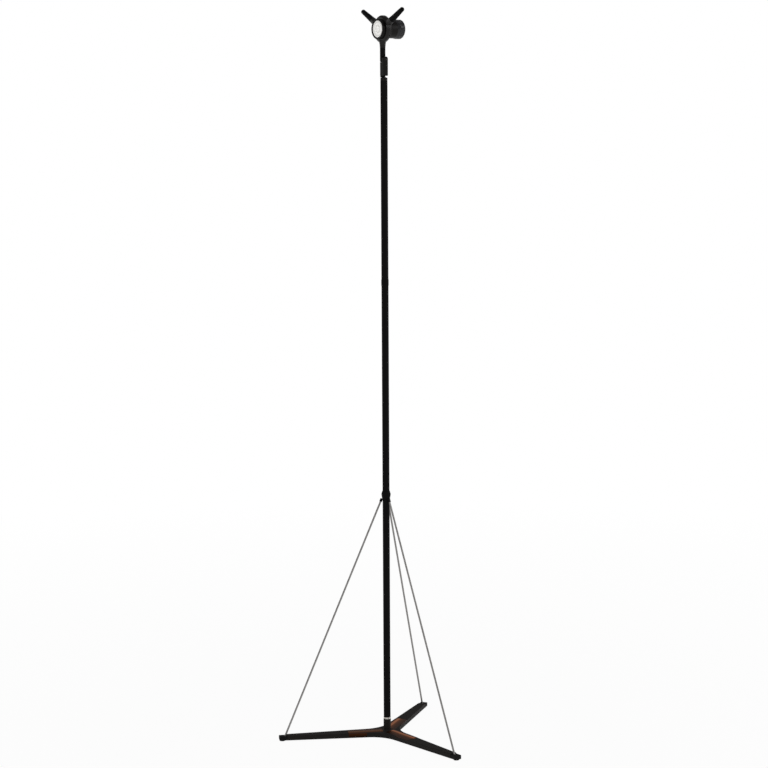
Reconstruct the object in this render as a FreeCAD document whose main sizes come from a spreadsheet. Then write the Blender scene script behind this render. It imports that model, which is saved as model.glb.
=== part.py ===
"""Spotlight floor lamp on three legs, with a stayed pole and a head that pans and tilts.

Frame: +Z up, origin on the floor under the pole's axis, lamp facing -Y at rest.
All lengths are in millimetres and all angles in degrees.
"""
import FreeCAD, Part
import math
import os
import Sketcher

doc = FreeCAD.newDocument("floor_lamp")
sheet = doc.addObject("Spreadsheet::Sheet", "sizes")

# name of the size, its value, and what it measures
SIZES = [
    # base
    ("pad_thick", 2.0, "rubber pads under the base"),
    ("base_thick", 13.0, "thickness of hub arms and legs"),
    ("leg_turn", 3.0, "angle of the right leg from +X"),
    ("seam_radius", 60.0, "where a leg meets the hub, from the pole's axis"),
    ("seam_width", 41.0, "width of hub arm and leg at their seam"),
    ("crotch_radius", 36.5, "hub's waist between two arms, from the axis"),
    ("leg_end_width", 21.0, "width of a leg at its outer end"),
    ("edge_round", 1.6, "rounding of the legs' long edges"),
    ("tongue_length", 42.0, "hub tongue inside a leg"),
    ("tongue_width", 20.0, "hub tongue, across"),
    ("tongue_thick", 6.6, "hub tongue, thickness"),
    ("tongue_gap", 0.2, "clearance round the tongue"),
    ("tip_reach", 300.7, "outer end of a leg cap, from the axis"),
    ("tip_length", 21.7, "a leg cap from its leg's end to its own"),
    ("tip_drop", 1.8, "how far a cap lies under the leg's top"),
    ("tip_inset", 0.5, "how far a cap lies inside the leg's sides"),
    ("tip_plug_length", 3.5, "plug of a cap inside the leg's end"),
    ("foot_radius", 7.5, "round foot pad"),
    ("hub_pad_radius", 28.0, "pad under the hub"),
    ("accent_end", 110.0, "outer end of an accent bar"),
    ("accent_inset", 0.3, "accent bar inside the sides of its leg"),
    ("accent_depth", 1.5, "groove for an accent bar"),
    ("accent_crown", 1.2, "ridge of an accent bar over the leg's top"),
    ("accent_ridge", 6.0, "ridge of an accent bar beside the leg's centre line"),
    ("accent_fall", 0.4, "edges of an accent bar under the leg's top"),
    ("accent_lip", 2.4, "lip of the hub beside an accent bar"),
    ("accent_skirt", 3.0, "skirt of an accent bar, thickness"),
    ("accent_skirt_foot", 2.0, "foot of the skirt over the leg's underside"),
    ("accent_gap", 0.15, "clearance round an accent bar"),
    ("screw_radius", 2.5, "leg screw shank"),
    ("screw_head_radius", 4.5, "leg screw head"),
    ("screw_head_thick", 1.6, "leg screw head, thickness"),
    ("screw_gap", 0.1, "clearance round screws"),
    ("screw_inner", 74.0, "inner leg screw, from the axis"),
    ("screw_outer", 92.0, "outer leg screw, from the axis"),
    # socket and pole
    ("socket_radius", 10.1, "socket that carries the pole"),
    ("socket_top", 47.8, "top of the socket over the floor"),
    ("socket_flare", 3.0, "foot flare of the socket"),
    ("ring_radius", 9.9, "bright ring over the socket"),
    ("ring_height", 4.8, "bright ring, height"),
    ("tube_outer", 19.0, "pole tube, outside diameter"),
    ("tube_wall", 1.5, "pole tube, wall"),
    ("tube_gap", 0.05, "clearance of plugs in the tubes"),
    ("lower_joint_height", 676.0, "joint of lower and middle tube over the floor"),
    ("upper_joint_height", 1250.0, "joint of middle and upper tube over the floor"),
    ("pole_top", 1794.0, "top of the upper tube over the floor"),
    ("spigot_reach", 40.0, "reach of a joint spigot each way"),
    ("plug_bore", 10.2, "bore of plugs and spigots"),
    ("pole_plug_length", 36.0, "plug in the foot of the pole"),
    ("nipple_outer", 10.0, "hollow threaded pipe through the hub"),
    ("nipple_bore", 6.6, "bore of the threaded pipe"),
    ("nipple_foot", 8.4, "lower end of the threaded pipe over the floor"),
    ("nut_width", 17.0, "nut on the threaded pipe, across corners"),
    ("nut_thick", 3.2, "nut on the threaded pipe, thickness"),
    ("recess_radius", 12.0, "recess under the hub"),
    ("recess_top", 11.0, "roof of the recess over the floor"),
    ("sleeve_radius", 10.1, "thin sleeve over the upper tube joint"),
    ("sleeve_below", 2.0, "sleeve under the upper joint"),
    ("sleeve_above", 15.0, "sleeve over the upper joint"),
    ("sleeve_gap", 0.1, "clearance inside sleeve and collar"),
    # stays
    ("stay_radius", 2.5, "steel stay"),
    ("stay_top_reach", 12.8, "upper end of a stay, from the axis"),
    ("stay_top_drop", 14.0, "upper end of a stay under the collar's widest line"),
    ("stay_foot_inset", 17.7, "where a stay enters its cap, from the cap's outer end"),
    ("stay_foot_depth", 8.6, "stay inside its leg"),
    ("stay_gap", 0.15, "clearance round a stay"),
    ("nipple_radius", 3.6, "stay nipple under the leg"),
    ("nipple_length", 5.5, "stay nipple, length"),
    ("collar_radius", 12.6, "stay collar at its widest"),
    ("collar_waist", 10.4, "stay collar at its ends"),
    ("collar_over_joint", 1.5, "the collar's widest line over the lower joint"),
    ("collar_rise", 9.0, "collar over its widest line"),
    ("collar_fall", 13.5, "collar under its widest line"),
    ("lug_radius", 3.7, "lug of the collar round a stay"),
    ("lug_above", 2.5, "lug past the stay's end"),
    ("lug_below", 6.5, "lug along the stay"),
    # lead inside the pole
    ("lead_radius", 2.0, "lead inside pole and stem"),
    ("lead_bend", 4.6, "bend of the lead under the pole"),
    ("lead_level", 5.6, "level run of the lead over the floor"),
    ("gland_bore", 4.5, "cord gland, bore"),
    ("gland_body", 3.1, "cord gland, body radius"),
    ("gland_flange", 3.9, "cord gland, flange radius"),
    ("gland_flange_thick", 1.8, "cord gland, flange thickness"),
    ("gland_length", 8.0, "cord gland, body length"),
    ("gland_gap", 0.1, "clearance round the gland"),
    # pan joint
    ("bush_flange", 8.0, "flange of the top bush"),
    ("bush_length", 38.0, "top bush inside the tube"),
    ("spindle_radius", 5.0, "spindle of the swivel"),
    ("spindle_bore", 5.2, "bore of the spindle"),
    ("running_gap", 0.05, "radial running clearance of spindle and pin"),
    ("washer_thick", 0.8, "friction washers"),
    ("face_gap", 0.1, "clearance between turning faces"),
    ("pan_nut_thick", 5.0, "nut under the top bush"),
    ("pan_nut_radius", 7.2, "nut under the top bush"),
    ("neck_radius", 6.9, "neck of the swivel"),
    ("neck_height", 3.9, "neck of the swivel"),
    # tilt joint
    ("stem_radius", 7.3, "stem that carries the head"),
    ("stem_offset", 5.0, "stem's axis beside the pole's axis"),
    ("knuckle_side", 9.5, "outer cheek of the knuckle, from the pole's axis"),
    ("knuckle_height", 50.8, "knuckle, height"),
    ("knuckle_chamfer", 1.0, "edges of the knuckle"),
    ("lap_face", 0.2, "inner face of the knuckle's ear, left of the pole's axis"),
    ("lap_gap", 0.5, "room at the ends of the lap joint"),
    ("pin_radius", 3.0, "tilt pin"),
    ("pin_head_radius", 5.2, "head of the tilt pin"),
    ("pin_head_thick", 2.6, "head of the tilt pin"),
    ("pin_nut_radius", 4.4, "round nut of the tilt pin"),
    ("pin_nut_thick", 3.2, "round nut of the tilt pin"),
    ("pin_nut_room", 0.3, "clearance round the round nut"),
    # head
    ("stem_reach", 79.5, "axis of the lamp over the tilt pin"),
    ("head_front", 18.0, "front of the bezel ahead of the stem's axis"),
    ("stem_bore", 5.5, "bore of the stem"),
    ("yoke_radius", 35.9, "yoke at its crown"),
    ("yoke_front_radius", 30.0, "yoke at its front face"),
    ("yoke_rear_radius", 28.5, "yoke at its rear face"),
    ("yoke_half", 9.0, "yoke each side of the stem's axis"),
    ("crown_half", 3.2, "flat crown of the yoke each side of the stem's axis"),
    ("arm_root", 10.6, "flare of an arm at the yoke"),
    ("arm_root_reach", 30.0, "where the flare starts, from the lamp's axis"),
    ("arm_reach", 49.0, "end of a yoke arm, from the lamp's axis"),
    ("arm_lip", 0.2, "yoke arm outside what it holds"),
    ("arm_waist_reach", 41.0, "where the flare has nearly ended"),
    ("arm_swell", 0.5, "yoke arm where the flare has nearly ended, over its end"),
    ("handle_angle", 29.0, "handles over the level"),
    ("handle_reach", 105.0, "tip of a handle, from the lamp's axis"),
    ("handle_root", 8.3, "handle at its root"),
    ("handle_tip", 6.1, "handle at its tip"),
    ("spigot_radius", 4.0, "spigots of handles and stem"),
    ("spigot_length", 15.0, "spigots of handles and stem"),
    ("barrel_radius", 25.0, "barrel where the yoke holds it"),
    ("barrel_waist", 24.0, "barrel behind the yoke"),
    ("barrel_wall", 2.2, "barrel, wall"),
    ("barrel_step", 31.0, "step of the barrel, from the bezel's front"),
    ("barrel_end", 52.0, "rear end of the barrel, from the bezel's front"),
    ("barrel_fit", 0.1, "clearance between barrel and its neighbours"),
    ("bezel_radius", 27.0, "bezel, outside"),
    ("bezel_aperture", 22.0, "bezel, opening"),
    ("bezel_lip", 2.1, "bezel, lip over the lens"),
    ("bezel_length", 8.7, "bezel, length"),
    ("bezel_round", 1.2, "bezel, front edge"),
    ("thread_radius", 24.0, "front spigot of the barrel"),
    ("lens_thick", 2.5, "lens"),
    ("lens_radius", 23.6, "lens"),
    ("reflector_mouth", 21.4, "reflector at its mouth"),
    ("reflector_throat", 8.0, "reflector at its throat"),
    ("reflector_wall", 0.9, "reflector, wall"),
    ("board_radius", 12.0, "light board"),
    ("board_thick", 1.6, "light board"),
    ("board_place", 33.8, "light board, from the bezel's front"),
    ("emitter_radius", 6.0, "emitter on the board"),
    ("emitter_thick", 0.6, "emitter on the board"),
    ("pad_film", 0.5, "heat-conducting pad"),
    ("sink_radius", 25.6, "heat sink at its rear"),
    ("sink_end", 75.5, "rear end of the heat sink, from the bezel's front"),
    ("sink_shoulder", 61.0, "where the heat sink reaches its full radius"),
    ("flute_radius", 2.6, "flutes round the heat sink"),
    ("flute_place", 26.4, "centres of the flutes, from the lamp's axis"),
    ("flute_start", 58.0, "front end of the flutes, from the bezel's front"),
    ("cap_radius", 19.5, "rear cap"),
    ("cap_thick", 2.5, "rear cap"),
    ("cap_round", 0.8, "rear cap, edge"),
    ("cap_screw_place", 13.5, "rear screws, from the lamp's axis"),
    ("cap_screw_radius", 1.5, "rear screws, shank"),
    ("cap_screw_head", 2.8, "rear screws, head"),
    ("cap_screw_rise", 1.2, "rear screws, head over the cap"),
    ("cap_screw_length", 8.0, "rear screws, shank"),
    ("grub_radius", 2.0, "grub screws in the yoke"),
    ("grub_sink", 0.6, "grub screws under the yoke's crown"),
]

ARMS = 3
FLUTES = 16
LEG_NAMES = ("right", "rear", "front")


class Size:
    """A length with its number and the sheet expression that it comes from."""

    def __init__(self, text, value):
        self.text = text
        self.value = value

    def _with(self, sign, other, value):
        return Size("(" + self.text + " " + sign + " " + as_size(other).text + ")", value)

    def __add__(self, other):
        return self._with("+", other, self.value + as_size(other).value)

    def __sub__(self, other):
        return self._with("-", other, self.value - as_size(other).value)

    def __mul__(self, other):
        return self._with("*", other, self.value * as_size(other).value)

    def __truediv__(self, other):
        return self._with("/", other, self.value / as_size(other).value)

    def __neg__(self):
        return Size("(0 - " + self.text + ")", -self.value)


def as_size(number):
    """Return a plain number as a Size, and a Size as it is."""
    if isinstance(number, Size):
        return number
    return Size(repr(float(number)), float(number))


class Sizes:
    """All sizes of the sheet, each under its own name."""


def fill_sheet():
    """Write every size into the sheet and return them by name."""
    sizes = Sizes()
    for row, (name, value, note) in enumerate(SIZES, start=1):
        sheet.set("A%d" % row, name)
        sheet.set("B%d" % row, str(value))
        sheet.setAlias("B%d" % row, name)
        sheet.set("C%d" % row, note)
        setattr(sizes, name, Size("sizes." + name, value))
    doc.recompute()
    return sizes


S = fill_sheet()
ZERO = as_size(0.0)
PARTS = []


# ---------------------------------------------------------------- helpers

def bind(thing, name, size):
    """Tie a property of an object to the sheet."""
    thing.setExpression(name, as_size(size).text)


def sub_part(thing, label):
    """Give a finished sub-part its label and keep it for writing."""
    thing.Label = label
    PARTS.append(thing)
    return thing


def place(thing, x=0.0, y=0.0, z=0.0, axis=(0, 0, 1), angle=0.0, first=None):
    """Put an object at a point, turned about an axis, after a first turn if one is given."""
    turn = FreeCAD.Rotation(FreeCAD.Vector(*axis), as_size(angle).value)
    if first is not None:
        turn = turn * first
    spot = FreeCAD.Vector(as_size(x).value, as_size(y).value, as_size(z).value)
    thing.Placement = FreeCAD.Placement(spot, turn)
    for name, size in (("x", x), ("y", y), ("z", z)):
        if isinstance(size, Size):
            bind(thing, "Placement.Base." + name, size)
    return thing


def origin_plane(body, role):
    """Find one of a body's own origin planes."""
    for feature in body.Origin.OriginFeatures:
        if feature.Role == role:
            return feature
    raise ValueError("no plane " + role)


def outline(body, plane, corners, lift=None):
    """Draw a closed outline whose corners are dimensioned from the body's origin."""
    sketch = body.newObject("Sketcher::SketchObject", "outline")
    sketch.AttachmentSupport = [(origin_plane(body, plane), "")]
    sketch.MapMode = "FlatFace"
    if lift is not None:
        bind(sketch, "AttachmentOffset.Base.z", lift)
    points = [FreeCAD.Vector(as_size(x).value, as_size(y).value, 0) for x, y in corners]
    count = len(points)
    for index in range(count):
        sketch.addGeometry(Part.LineSegment(points[index], points[(index + 1) % count]), False)
    for index in range(count):
        sketch.addConstraint(Sketcher.Constraint("Coincident", index, 2, (index + 1) % count, 1))
    for index, (x, y) in enumerate(corners):
        for kind, size, axis in (("DistanceX", as_size(x), -2), ("DistanceY", as_size(y), -1)):
            if size is ZERO:
                sketch.addConstraint(Sketcher.Constraint("PointOnObject", index, 1, axis))
                continue
            number = sketch.addConstraint(
                Sketcher.Constraint(kind, -1, 1, index, 1, size.value))
            sketch.setExpression("Constraints[%d]" % number, size.text)
    return sketch


def ring_outline(body, plane, radius, lift=None, centre=None):
    """Draw a circle, on the body's axis or at a distance from it along X."""
    sketch = body.newObject("Sketcher::SketchObject", "circle")
    sketch.AttachmentSupport = [(origin_plane(body, plane), "")]
    sketch.MapMode = "FlatFace"
    if lift is not None:
        bind(sketch, "AttachmentOffset.Base.z", lift)
    middle = FreeCAD.Vector(centre.value if centre else 0, 0, 0)
    circle = Part.Circle(middle, FreeCAD.Vector(0, 0, 1), as_size(radius).value)
    sketch.addGeometry(circle, False)
    number = sketch.addConstraint(Sketcher.Constraint("Radius", 0, as_size(radius).value))
    sketch.setExpression("Constraints[%d]" % number, as_size(radius).text)
    if centre is None:
        sketch.addConstraint(Sketcher.Constraint("Coincident", 0, 3, -1, 1))
    else:
        sketch.addConstraint(Sketcher.Constraint("PointOnObject", 0, 3, -1))
        number = sketch.addConstraint(Sketcher.Constraint("DistanceX", -1, 1, 0, 3, centre.value))
        sketch.setExpression("Constraints[%d]" % number, centre.text)
    return sketch


def new_body(name):
    """Start a body."""
    return doc.addObject("PartDesign::Body", name)


def revolve(body, corners):
    """Turn an outline of (radius, height) corners about the body's own Z axis."""
    sketch = outline(body, "XZ_Plane", corners)
    feature = body.newObject("PartDesign::Revolution", "turned")
    feature.Profile = sketch
    feature.ReferenceAxis = (sketch, ["V_Axis"])
    feature.Angle = 360
    return feature


def turned(name, corners):
    """Make a body that is turned on a lathe."""
    body = new_body(name)
    revolve(body, corners)
    return body


def pad(body, sketch, length):
    """Raise an outline by a length."""
    feature = body.newObject("PartDesign::Pad", "pad")
    feature.Profile = sketch
    bind(feature, "Length", length)
    return feature


def pocket(body, sketch, depth, upward=False):
    """Sink an outline by a depth, down from its plane or up from it."""
    feature = body.newObject("PartDesign::Pocket", "pocket")
    feature.Profile = sketch
    feature.Reversed = upward
    bind(feature, "Length", depth)
    return feature


def cylinder(name, radius, height):
    """Make a plain cylinder that stands on its own XY plane."""
    solid = doc.addObject("Part::Cylinder", name)
    bind(solid, "Radius", radius)
    bind(solid, "Height", height)
    return solid


def cone(name, low_radius, high_radius, height):
    """Make a plain cone that stands on its own XY plane."""
    solid = doc.addObject("Part::Cone", name)
    bind(solid, "Radius1", low_radius)
    bind(solid, "Radius2", high_radius)
    bind(solid, "Height", height)
    return solid


def block(name, length, width, height):
    """Make a plain block with one corner at its own origin."""
    solid = doc.addObject("Part::Box", name)
    bind(solid, "Length", length)
    bind(solid, "Width", width)
    bind(solid, "Height", height)
    return solid


def fused(name, solids):
    """Join solids into one."""
    joined = doc.addObject("Part::MultiFuse", name)
    joined.Shapes = solids
    joined.Refine = True
    return joined


def cut(name, base, tools):
    """Cut one or more solids from a base."""
    tool = tools[0] if len(tools) == 1 else fused(name + "_tools", tools)
    result = doc.addObject("Part::Cut", name)
    result.Base = base
    result.Tool = tool
    result.Refine = True
    return result


def group(name, solids):
    """Keep several equal solids together in one sub-part."""
    compound = doc.addObject("Part::Compound", name)
    compound.Links = solids
    return compound


def leg_angle(index):
    """Angle of a leg about the pole."""
    return S.leg_turn.value + index * 360.0 / ARMS


# ---------------------------------------------------------------- levels

base_top = S.pad_thick + S.base_thick
tube_radius = S.tube_outer / 2
tube_inner = tube_radius - S.tube_wall
plug_radius = tube_inner - S.tube_gap
pole_foot = S.socket_top + S.ring_height
bush_top = S.pole_top + S.bush_flange
neck_foot = bush_top + S.washer_thick + S.face_gap
knuckle_foot = neck_foot + S.neck_height
knuckle_top = knuckle_foot + S.knuckle_height
pivot_height = knuckle_top - S.stem_radius
half_seam = S.seam_width / 2
tongue_low = S.pad_thick + (S.base_thick - S.tongue_thick) / 2
leg_end = S.tip_reach - S.tip_length
stay_foot_reach = S.tip_reach - S.stay_foot_inset
stay_run = stay_foot_reach - S.stay_top_reach
collar_widest = S.lower_joint_height + S.collar_over_joint
stay_top_height = collar_widest - S.stay_top_drop
stay_fall = stay_top_height - base_top
accent_start = S.socket_radius + S.socket_flare + S.accent_gap * 2
head_height = pivot_height + S.stem_reach
stay_lean = math.degrees(math.atan2(stay_run.value, stay_fall.value))
stay_span = Size("sqrt(%s^2 + %s^2)" % (stay_run.text, stay_fall.text),
                 math.hypot(stay_run.value, stay_fall.value))


def leg_half(reach):
    """Half the width of a leg at a reach from the pole's axis."""
    taper = (half_seam - S.leg_end_width / 2) / (leg_end - S.seam_radius)
    return half_seam - (reach - S.seam_radius) * taper


def along_stay(distance):
    """Point on a stay's axis, measured down from its upper end, in the leg's own frame."""
    lean = math.radians(stay_lean)
    along = as_size(distance).value
    return (S.stay_top_reach.value + along * math.sin(lean),
            stay_top_height.value - along * math.cos(lean))


def on_stay(solid, start, index=None):
    """Lay a cylinder along a stay, from a distance under the stay's upper end."""
    reach, height = along_stay(start)
    turn = FreeCAD.Rotation(FreeCAD.Vector(0, 1, 0), 180.0 - stay_lean)
    if index is None:
        solid.Placement = FreeCAD.Placement(FreeCAD.Vector(reach, 0, height), turn)
        return solid
    spin = FreeCAD.Rotation(FreeCAD.Vector(0, 0, 1), leg_angle(index))
    spot = spin.multVec(FreeCAD.Vector(reach, 0, height))
    solid.Placement = FreeCAD.Placement(spot, spin * turn)
    return solid


# ---------------------------------------------------------------- base

def hub_plan():
    """Three-armed outline of the hub, with round waists between the arms."""
    edges = []
    for index in range(ARMS):
        here = FreeCAD.Rotation(FreeCAD.Vector(0, 0, 1), leg_angle(index))
        after = FreeCAD.Rotation(FreeCAD.Vector(0, 0, 1), leg_angle(index + 1))
        between = FreeCAD.Rotation(FreeCAD.Vector(0, 0, 1), leg_angle(index + 0.5))
        low = here.multVec(FreeCAD.Vector(S.seam_radius.value, -half_seam.value, 0))
        high = here.multVec(FreeCAD.Vector(S.seam_radius.value, half_seam.value, 0))
        waist = between.multVec(FreeCAD.Vector(S.crotch_radius.value, 0, 0))
        following = after.multVec(FreeCAD.Vector(S.seam_radius.value, -half_seam.value, 0))
        edges.append(Part.LineSegment(low, high).toShape())
        edges.append(Part.Arc(high, waist, following).toShape())
    return Part.Wire(edges)


def round_long_edges(shape, radius, skip):
    """Round the edges of a flat bar that lie in its top and bottom, but not those at a skipped reach."""
    low = shape.BoundBox.ZMin
    high = shape.BoundBox.ZMax
    chosen = []
    for edge in shape.Edges:
        box = edge.BoundBox
        flat = box.ZLength < 0.01 and (abs(box.ZMin - low) < 0.01 or abs(box.ZMin - high) < 0.01)
        if flat and not skip(edge):
            chosen.append(edge)
    return shape.makeFillet(radius, chosen)


def make_hub():
    """Hub casting: three arms with tongues, and the socket that carries the pole."""
    plate = Part.Face(hub_plan()).extrude(FreeCAD.Vector(0, 0, S.base_thick.value))
    plate = round_long_edges(plate, S.edge_round.value,
                             lambda edge: isinstance(edge.Curve, Part.Line))
    star = doc.addObject("Part::Feature", "hub_star")
    star.Shape = plate
    place(star, z=S.pad_thick)
    solids = [star]
    socket = turned("hub_socket", [
        (ZERO, base_top - 1), (S.socket_radius + S.socket_flare, base_top - 1),
        (S.socket_radius + S.socket_flare, base_top),
        (S.socket_radius + S.socket_flare / 4, base_top + S.socket_flare / 3),
        (S.socket_radius, base_top + S.socket_flare), (S.socket_radius, S.socket_top),
        (ZERO, S.socket_top)])
    solids.append(socket)
    for index in range(ARMS):
        tongue = block("hub_tongue", S.tongue_length + S.edge_round * 2, S.tongue_width, S.tongue_thick)
        spin = FreeCAD.Rotation(FreeCAD.Vector(0, 0, 1), leg_angle(index))
        corner = FreeCAD.Vector(S.seam_radius.value - 2 * S.edge_round.value,
                                -S.tongue_width.value / 2, tongue_low.value)
        tongue.Placement = FreeCAD.Placement(spin.multVec(corner), spin)
        solids.append(tongue)
    tools = [place(cylinder("hub_bore", S.nipple_outer / 2 + S.screw_gap, S.socket_top), z=0.0)]
    tools.append(cylinder("hub_recess", S.recess_radius, S.recess_top))
    tools.append(gland_hole())
    for index in range(ARMS):
        tools.append(accent_groove(index))
        for reach in (S.screw_inner, S.screw_outer):
            hole = cylinder("tongue_hole", S.screw_radius, S.base_thick)
            spin = FreeCAD.Rotation(FreeCAD.Vector(0, 0, 1), leg_angle(index))
            hole.Placement = FreeCAD.Placement(spin.multVec(FreeCAD.Vector(reach.value, 0, 0)), spin)
            tools.append(hole)
    sub_part(cut("hub_cut", fused("hub_solid", solids), tools), "hub_casting")


GLAND_ANGLE = leg_angle(1.5)


def gland_hole():
    """Level hole from the hub's rear waist to the recess, for the gland."""
    hole = cylinder("hub_gland_hole", S.gland_body + S.gland_gap, S.crotch_radius)
    turn = FreeCAD.Rotation(FreeCAD.Vector(0, 0, 1), GLAND_ANGLE)
    level = FreeCAD.Rotation(FreeCAD.Vector(0, 1, 0), 90)
    hole.Placement = FreeCAD.Placement(
        turn.multVec(FreeCAD.Vector(S.recess_radius.value / 2, 0, S.lead_level.value)), turn * level)
    return hole


def make_gland():
    """Cord gland in the hub's rear waist."""
    seat = S.crotch_radius - S.gland_length
    gland = turned("gland_turned", [
        (S.gland_bore / 2, ZERO), (S.gland_body, ZERO), (S.gland_body, S.gland_length + S.gland_gap),
        (S.gland_flange, S.gland_length + S.gland_gap),
        (S.gland_flange, S.gland_length + S.gland_flange_thick),
        (S.gland_bore / 2, S.gland_length + S.gland_flange_thick)])
    turn = FreeCAD.Rotation(FreeCAD.Vector(0, 0, 1), GLAND_ANGLE)
    level = FreeCAD.Rotation(FreeCAD.Vector(0, 1, 0), 90)
    gland.Placement = FreeCAD.Placement(
        turn.multVec(FreeCAD.Vector(seat.value, 0, S.lead_level.value)), turn * level)
    sub_part(gland, "cord_gland")


def accent_groove(index):
    """Step in the hub's top for one accent bar."""
    groove = block("accent_groove", S.accent_end - accent_start + S.accent_gap * 2,
                   S.seam_width - S.accent_lip * 2, S.accent_depth + 1)
    spin = FreeCAD.Rotation(FreeCAD.Vector(0, 0, 1), leg_angle(index))
    corner = FreeCAD.Vector(accent_start.value - S.accent_gap.value,
                            S.accent_lip.value - half_seam.value,
                            base_top.value - S.accent_depth.value)
    groove.Placement = FreeCAD.Placement(spin.multVec(corner), spin)
    return groove


def make_accent(index):
    """Accent bar: a ridged plate over hub and leg, with a skirt down one side of the leg."""
    body = new_body("accent_" + LEG_NAMES[index])
    inner_half = half_seam - S.accent_inset
    outer_half = leg_half(S.accent_end) - S.accent_inset
    hub_half = half_seam - S.accent_lip - S.accent_gap
    shoulder = S.seam_radius + S.accent_gap
    plan = outline(body, "XY_Plane", [
        (accent_start, -hub_half), (shoulder, -hub_half), (shoulder, -inner_half),
        (S.accent_end, -outer_half), (S.accent_end, outer_half), (shoulder, inner_half),
        (shoulder, hub_half), (accent_start, hub_half)], lift=base_top - S.accent_depth)
    pad(body, plan, S.accent_depth + S.accent_crown)
    over = S.accent_crown * 2
    roof = outline(body, "YZ_Plane", [
        (-half_seam, base_top - S.accent_fall), (S.accent_ridge, base_top + S.accent_crown),
        (half_seam, base_top - S.accent_fall), (half_seam, base_top + over), (-half_seam, base_top + over)])
    pocket(body, roof, S.accent_end + 10, upward=True)
    skirt_foot = S.pad_thick + S.accent_skirt_foot
    skirt = outline(body, "XY_Plane", [
        (shoulder, inner_half - S.accent_skirt), (S.accent_end, outer_half - S.accent_skirt),
        (S.accent_end, outer_half), (shoulder, inner_half)], lift=skirt_foot)
    pad(body, skirt, base_top - S.accent_depth / 2 - skirt_foot)
    body.Tip = body.Group[-1]
    sub_part(place(body, angle=leg_angle(index)), "accent_" + LEG_NAMES[index])


def make_leg(index):
    """Tapered leg bar with its mortise, screw holes and the steps for its accent bar."""
    body = new_body("leg_bar")
    end_half = S.leg_end_width / 2
    plan = outline(body, "XY_Plane", [
        (S.seam_radius, -half_seam), (leg_end, -end_half),
        (leg_end, end_half), (S.seam_radius, half_seam)], lift=S.pad_thick)
    bar = pad(body, plan, S.base_thick)
    doc.recompute()
    names = []
    for number, edge in enumerate(bar.Shape.Edges, start=1):
        box = edge.BoundBox
        if box.XLength > 100:
            names.append("Edge%d" % number)
    rounded = body.newObject("PartDesign::Fillet", "rounded")
    rounded.Base = (bar, names)
    bind(rounded, "Radius", S.edge_round)
    tongue_half = S.tongue_width / 2 + S.tongue_gap
    mouth = outline(body, "XY_Plane", [
        (S.seam_radius - 1, -tongue_half), (S.seam_radius + S.tongue_length + 1, -tongue_half),
        (S.seam_radius + S.tongue_length + 1, tongue_half), (S.seam_radius - 1, tongue_half)],
        lift=tongue_low + S.tongue_thick + S.tongue_gap)
    pocket(body, mouth, S.tongue_thick + S.tongue_gap * 2)
    plug_half = S.leg_end_width / 4 + S.tip_inset
    end_mouth = outline(body, "XY_Plane", [
        (leg_end - S.tip_plug_length - S.tongue_gap, -plug_half), (leg_end + 1, -plug_half),
        (leg_end + 1, plug_half), (leg_end - S.tip_plug_length - S.tongue_gap, plug_half)],
        lift=S.pad_thick + S.base_thick * 0.65)
    pocket(body, end_mouth, S.base_thick * 0.4)
    for reach in (S.screw_inner, S.screw_outer):
        pocket(body, ring_outline(body, "XY_Plane", S.screw_radius + S.screw_gap,
                                  lift=S.pad_thick, centre=reach), tongue_low - S.pad_thick, upward=True)
        pocket(body, ring_outline(body, "XY_Plane", S.screw_head_radius + S.screw_gap,
                                  lift=S.pad_thick, centre=reach), S.screw_head_thick, upward=True)
    top_step = outline(body, "XY_Plane", [
        (S.seam_radius - 1, -(half_seam + 1)), (S.accent_end + S.accent_gap, -(half_seam + 1)),
        (S.accent_end + S.accent_gap, half_seam + 1), (S.seam_radius - 1, half_seam + 1)],
        lift=base_top)
    pocket(body, top_step, S.accent_depth)
    room = S.accent_skirt + S.accent_inset + S.accent_gap
    side_step = outline(body, "XY_Plane", [
        (S.seam_radius - 1, leg_half(S.seam_radius - 1) - room),
        (S.accent_end + S.accent_gap, leg_half(S.accent_end + S.accent_gap) - room),
        (S.accent_end + S.accent_gap, half_seam + 1), (S.seam_radius - 1, half_seam + 1)],
        lift=base_top)
    pocket(body, side_step, S.base_thick - S.accent_skirt_foot + S.accent_gap)
    body.Tip = body.Group[-1]
    sub_part(place(body, angle=leg_angle(index)), "leg_" + LEG_NAMES[index])


def make_tip(index):
    """End cap of a leg, a little lower and narrower than the leg."""
    body = new_body("tip_cap")
    half = S.leg_end_width / 2 - S.tip_inset
    plan = outline(body, "XY_Plane", [
        (leg_end, -half), (S.tip_reach, -half), (S.tip_reach, half), (leg_end, half)],
        lift=S.pad_thick)
    cap = pad(body, plan, S.base_thick - S.tip_drop)
    doc.recompute()
    names = []
    for number, edge in enumerate(cap.Shape.Edges, start=1):
        box = edge.BoundBox
        inner = box.XMax < leg_end.value + 0.01
        if not inner:
            names.append("Edge%d" % number)
    rounded = body.newObject("PartDesign::Fillet", "rounded")
    rounded.Base = (cap, names)
    bind(rounded, "Radius", S.edge_round)
    plug_half = S.leg_end_width / 4
    plug = outline(body, "XY_Plane", [
        (leg_end - S.tip_plug_length, -plug_half), (leg_end + S.tip_plug_length, -plug_half),
        (leg_end + S.tip_plug_length, plug_half), (leg_end - S.tip_plug_length, plug_half)],
        lift=S.pad_thick + S.base_thick * 0.28)
    pad(body, plug, S.base_thick * 0.34)
    body.Tip = body.Group[-1]
    hole = on_stay(cylinder("stay_hole", S.stay_radius + S.stay_gap, S.stay_foot_depth + 3), stay_span - 3)
    seat = on_stay(cylinder("nipple_seat", S.nipple_radius + S.stay_gap, S.base_thick * 2),
                   stay_span + S.stay_foot_depth - S.nipple_length)
    cap_cut = cut("tip_cut", body, [hole, seat])
    sub_part(place(cap_cut, angle=leg_angle(index)), "tip_" + LEG_NAMES[index])


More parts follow.
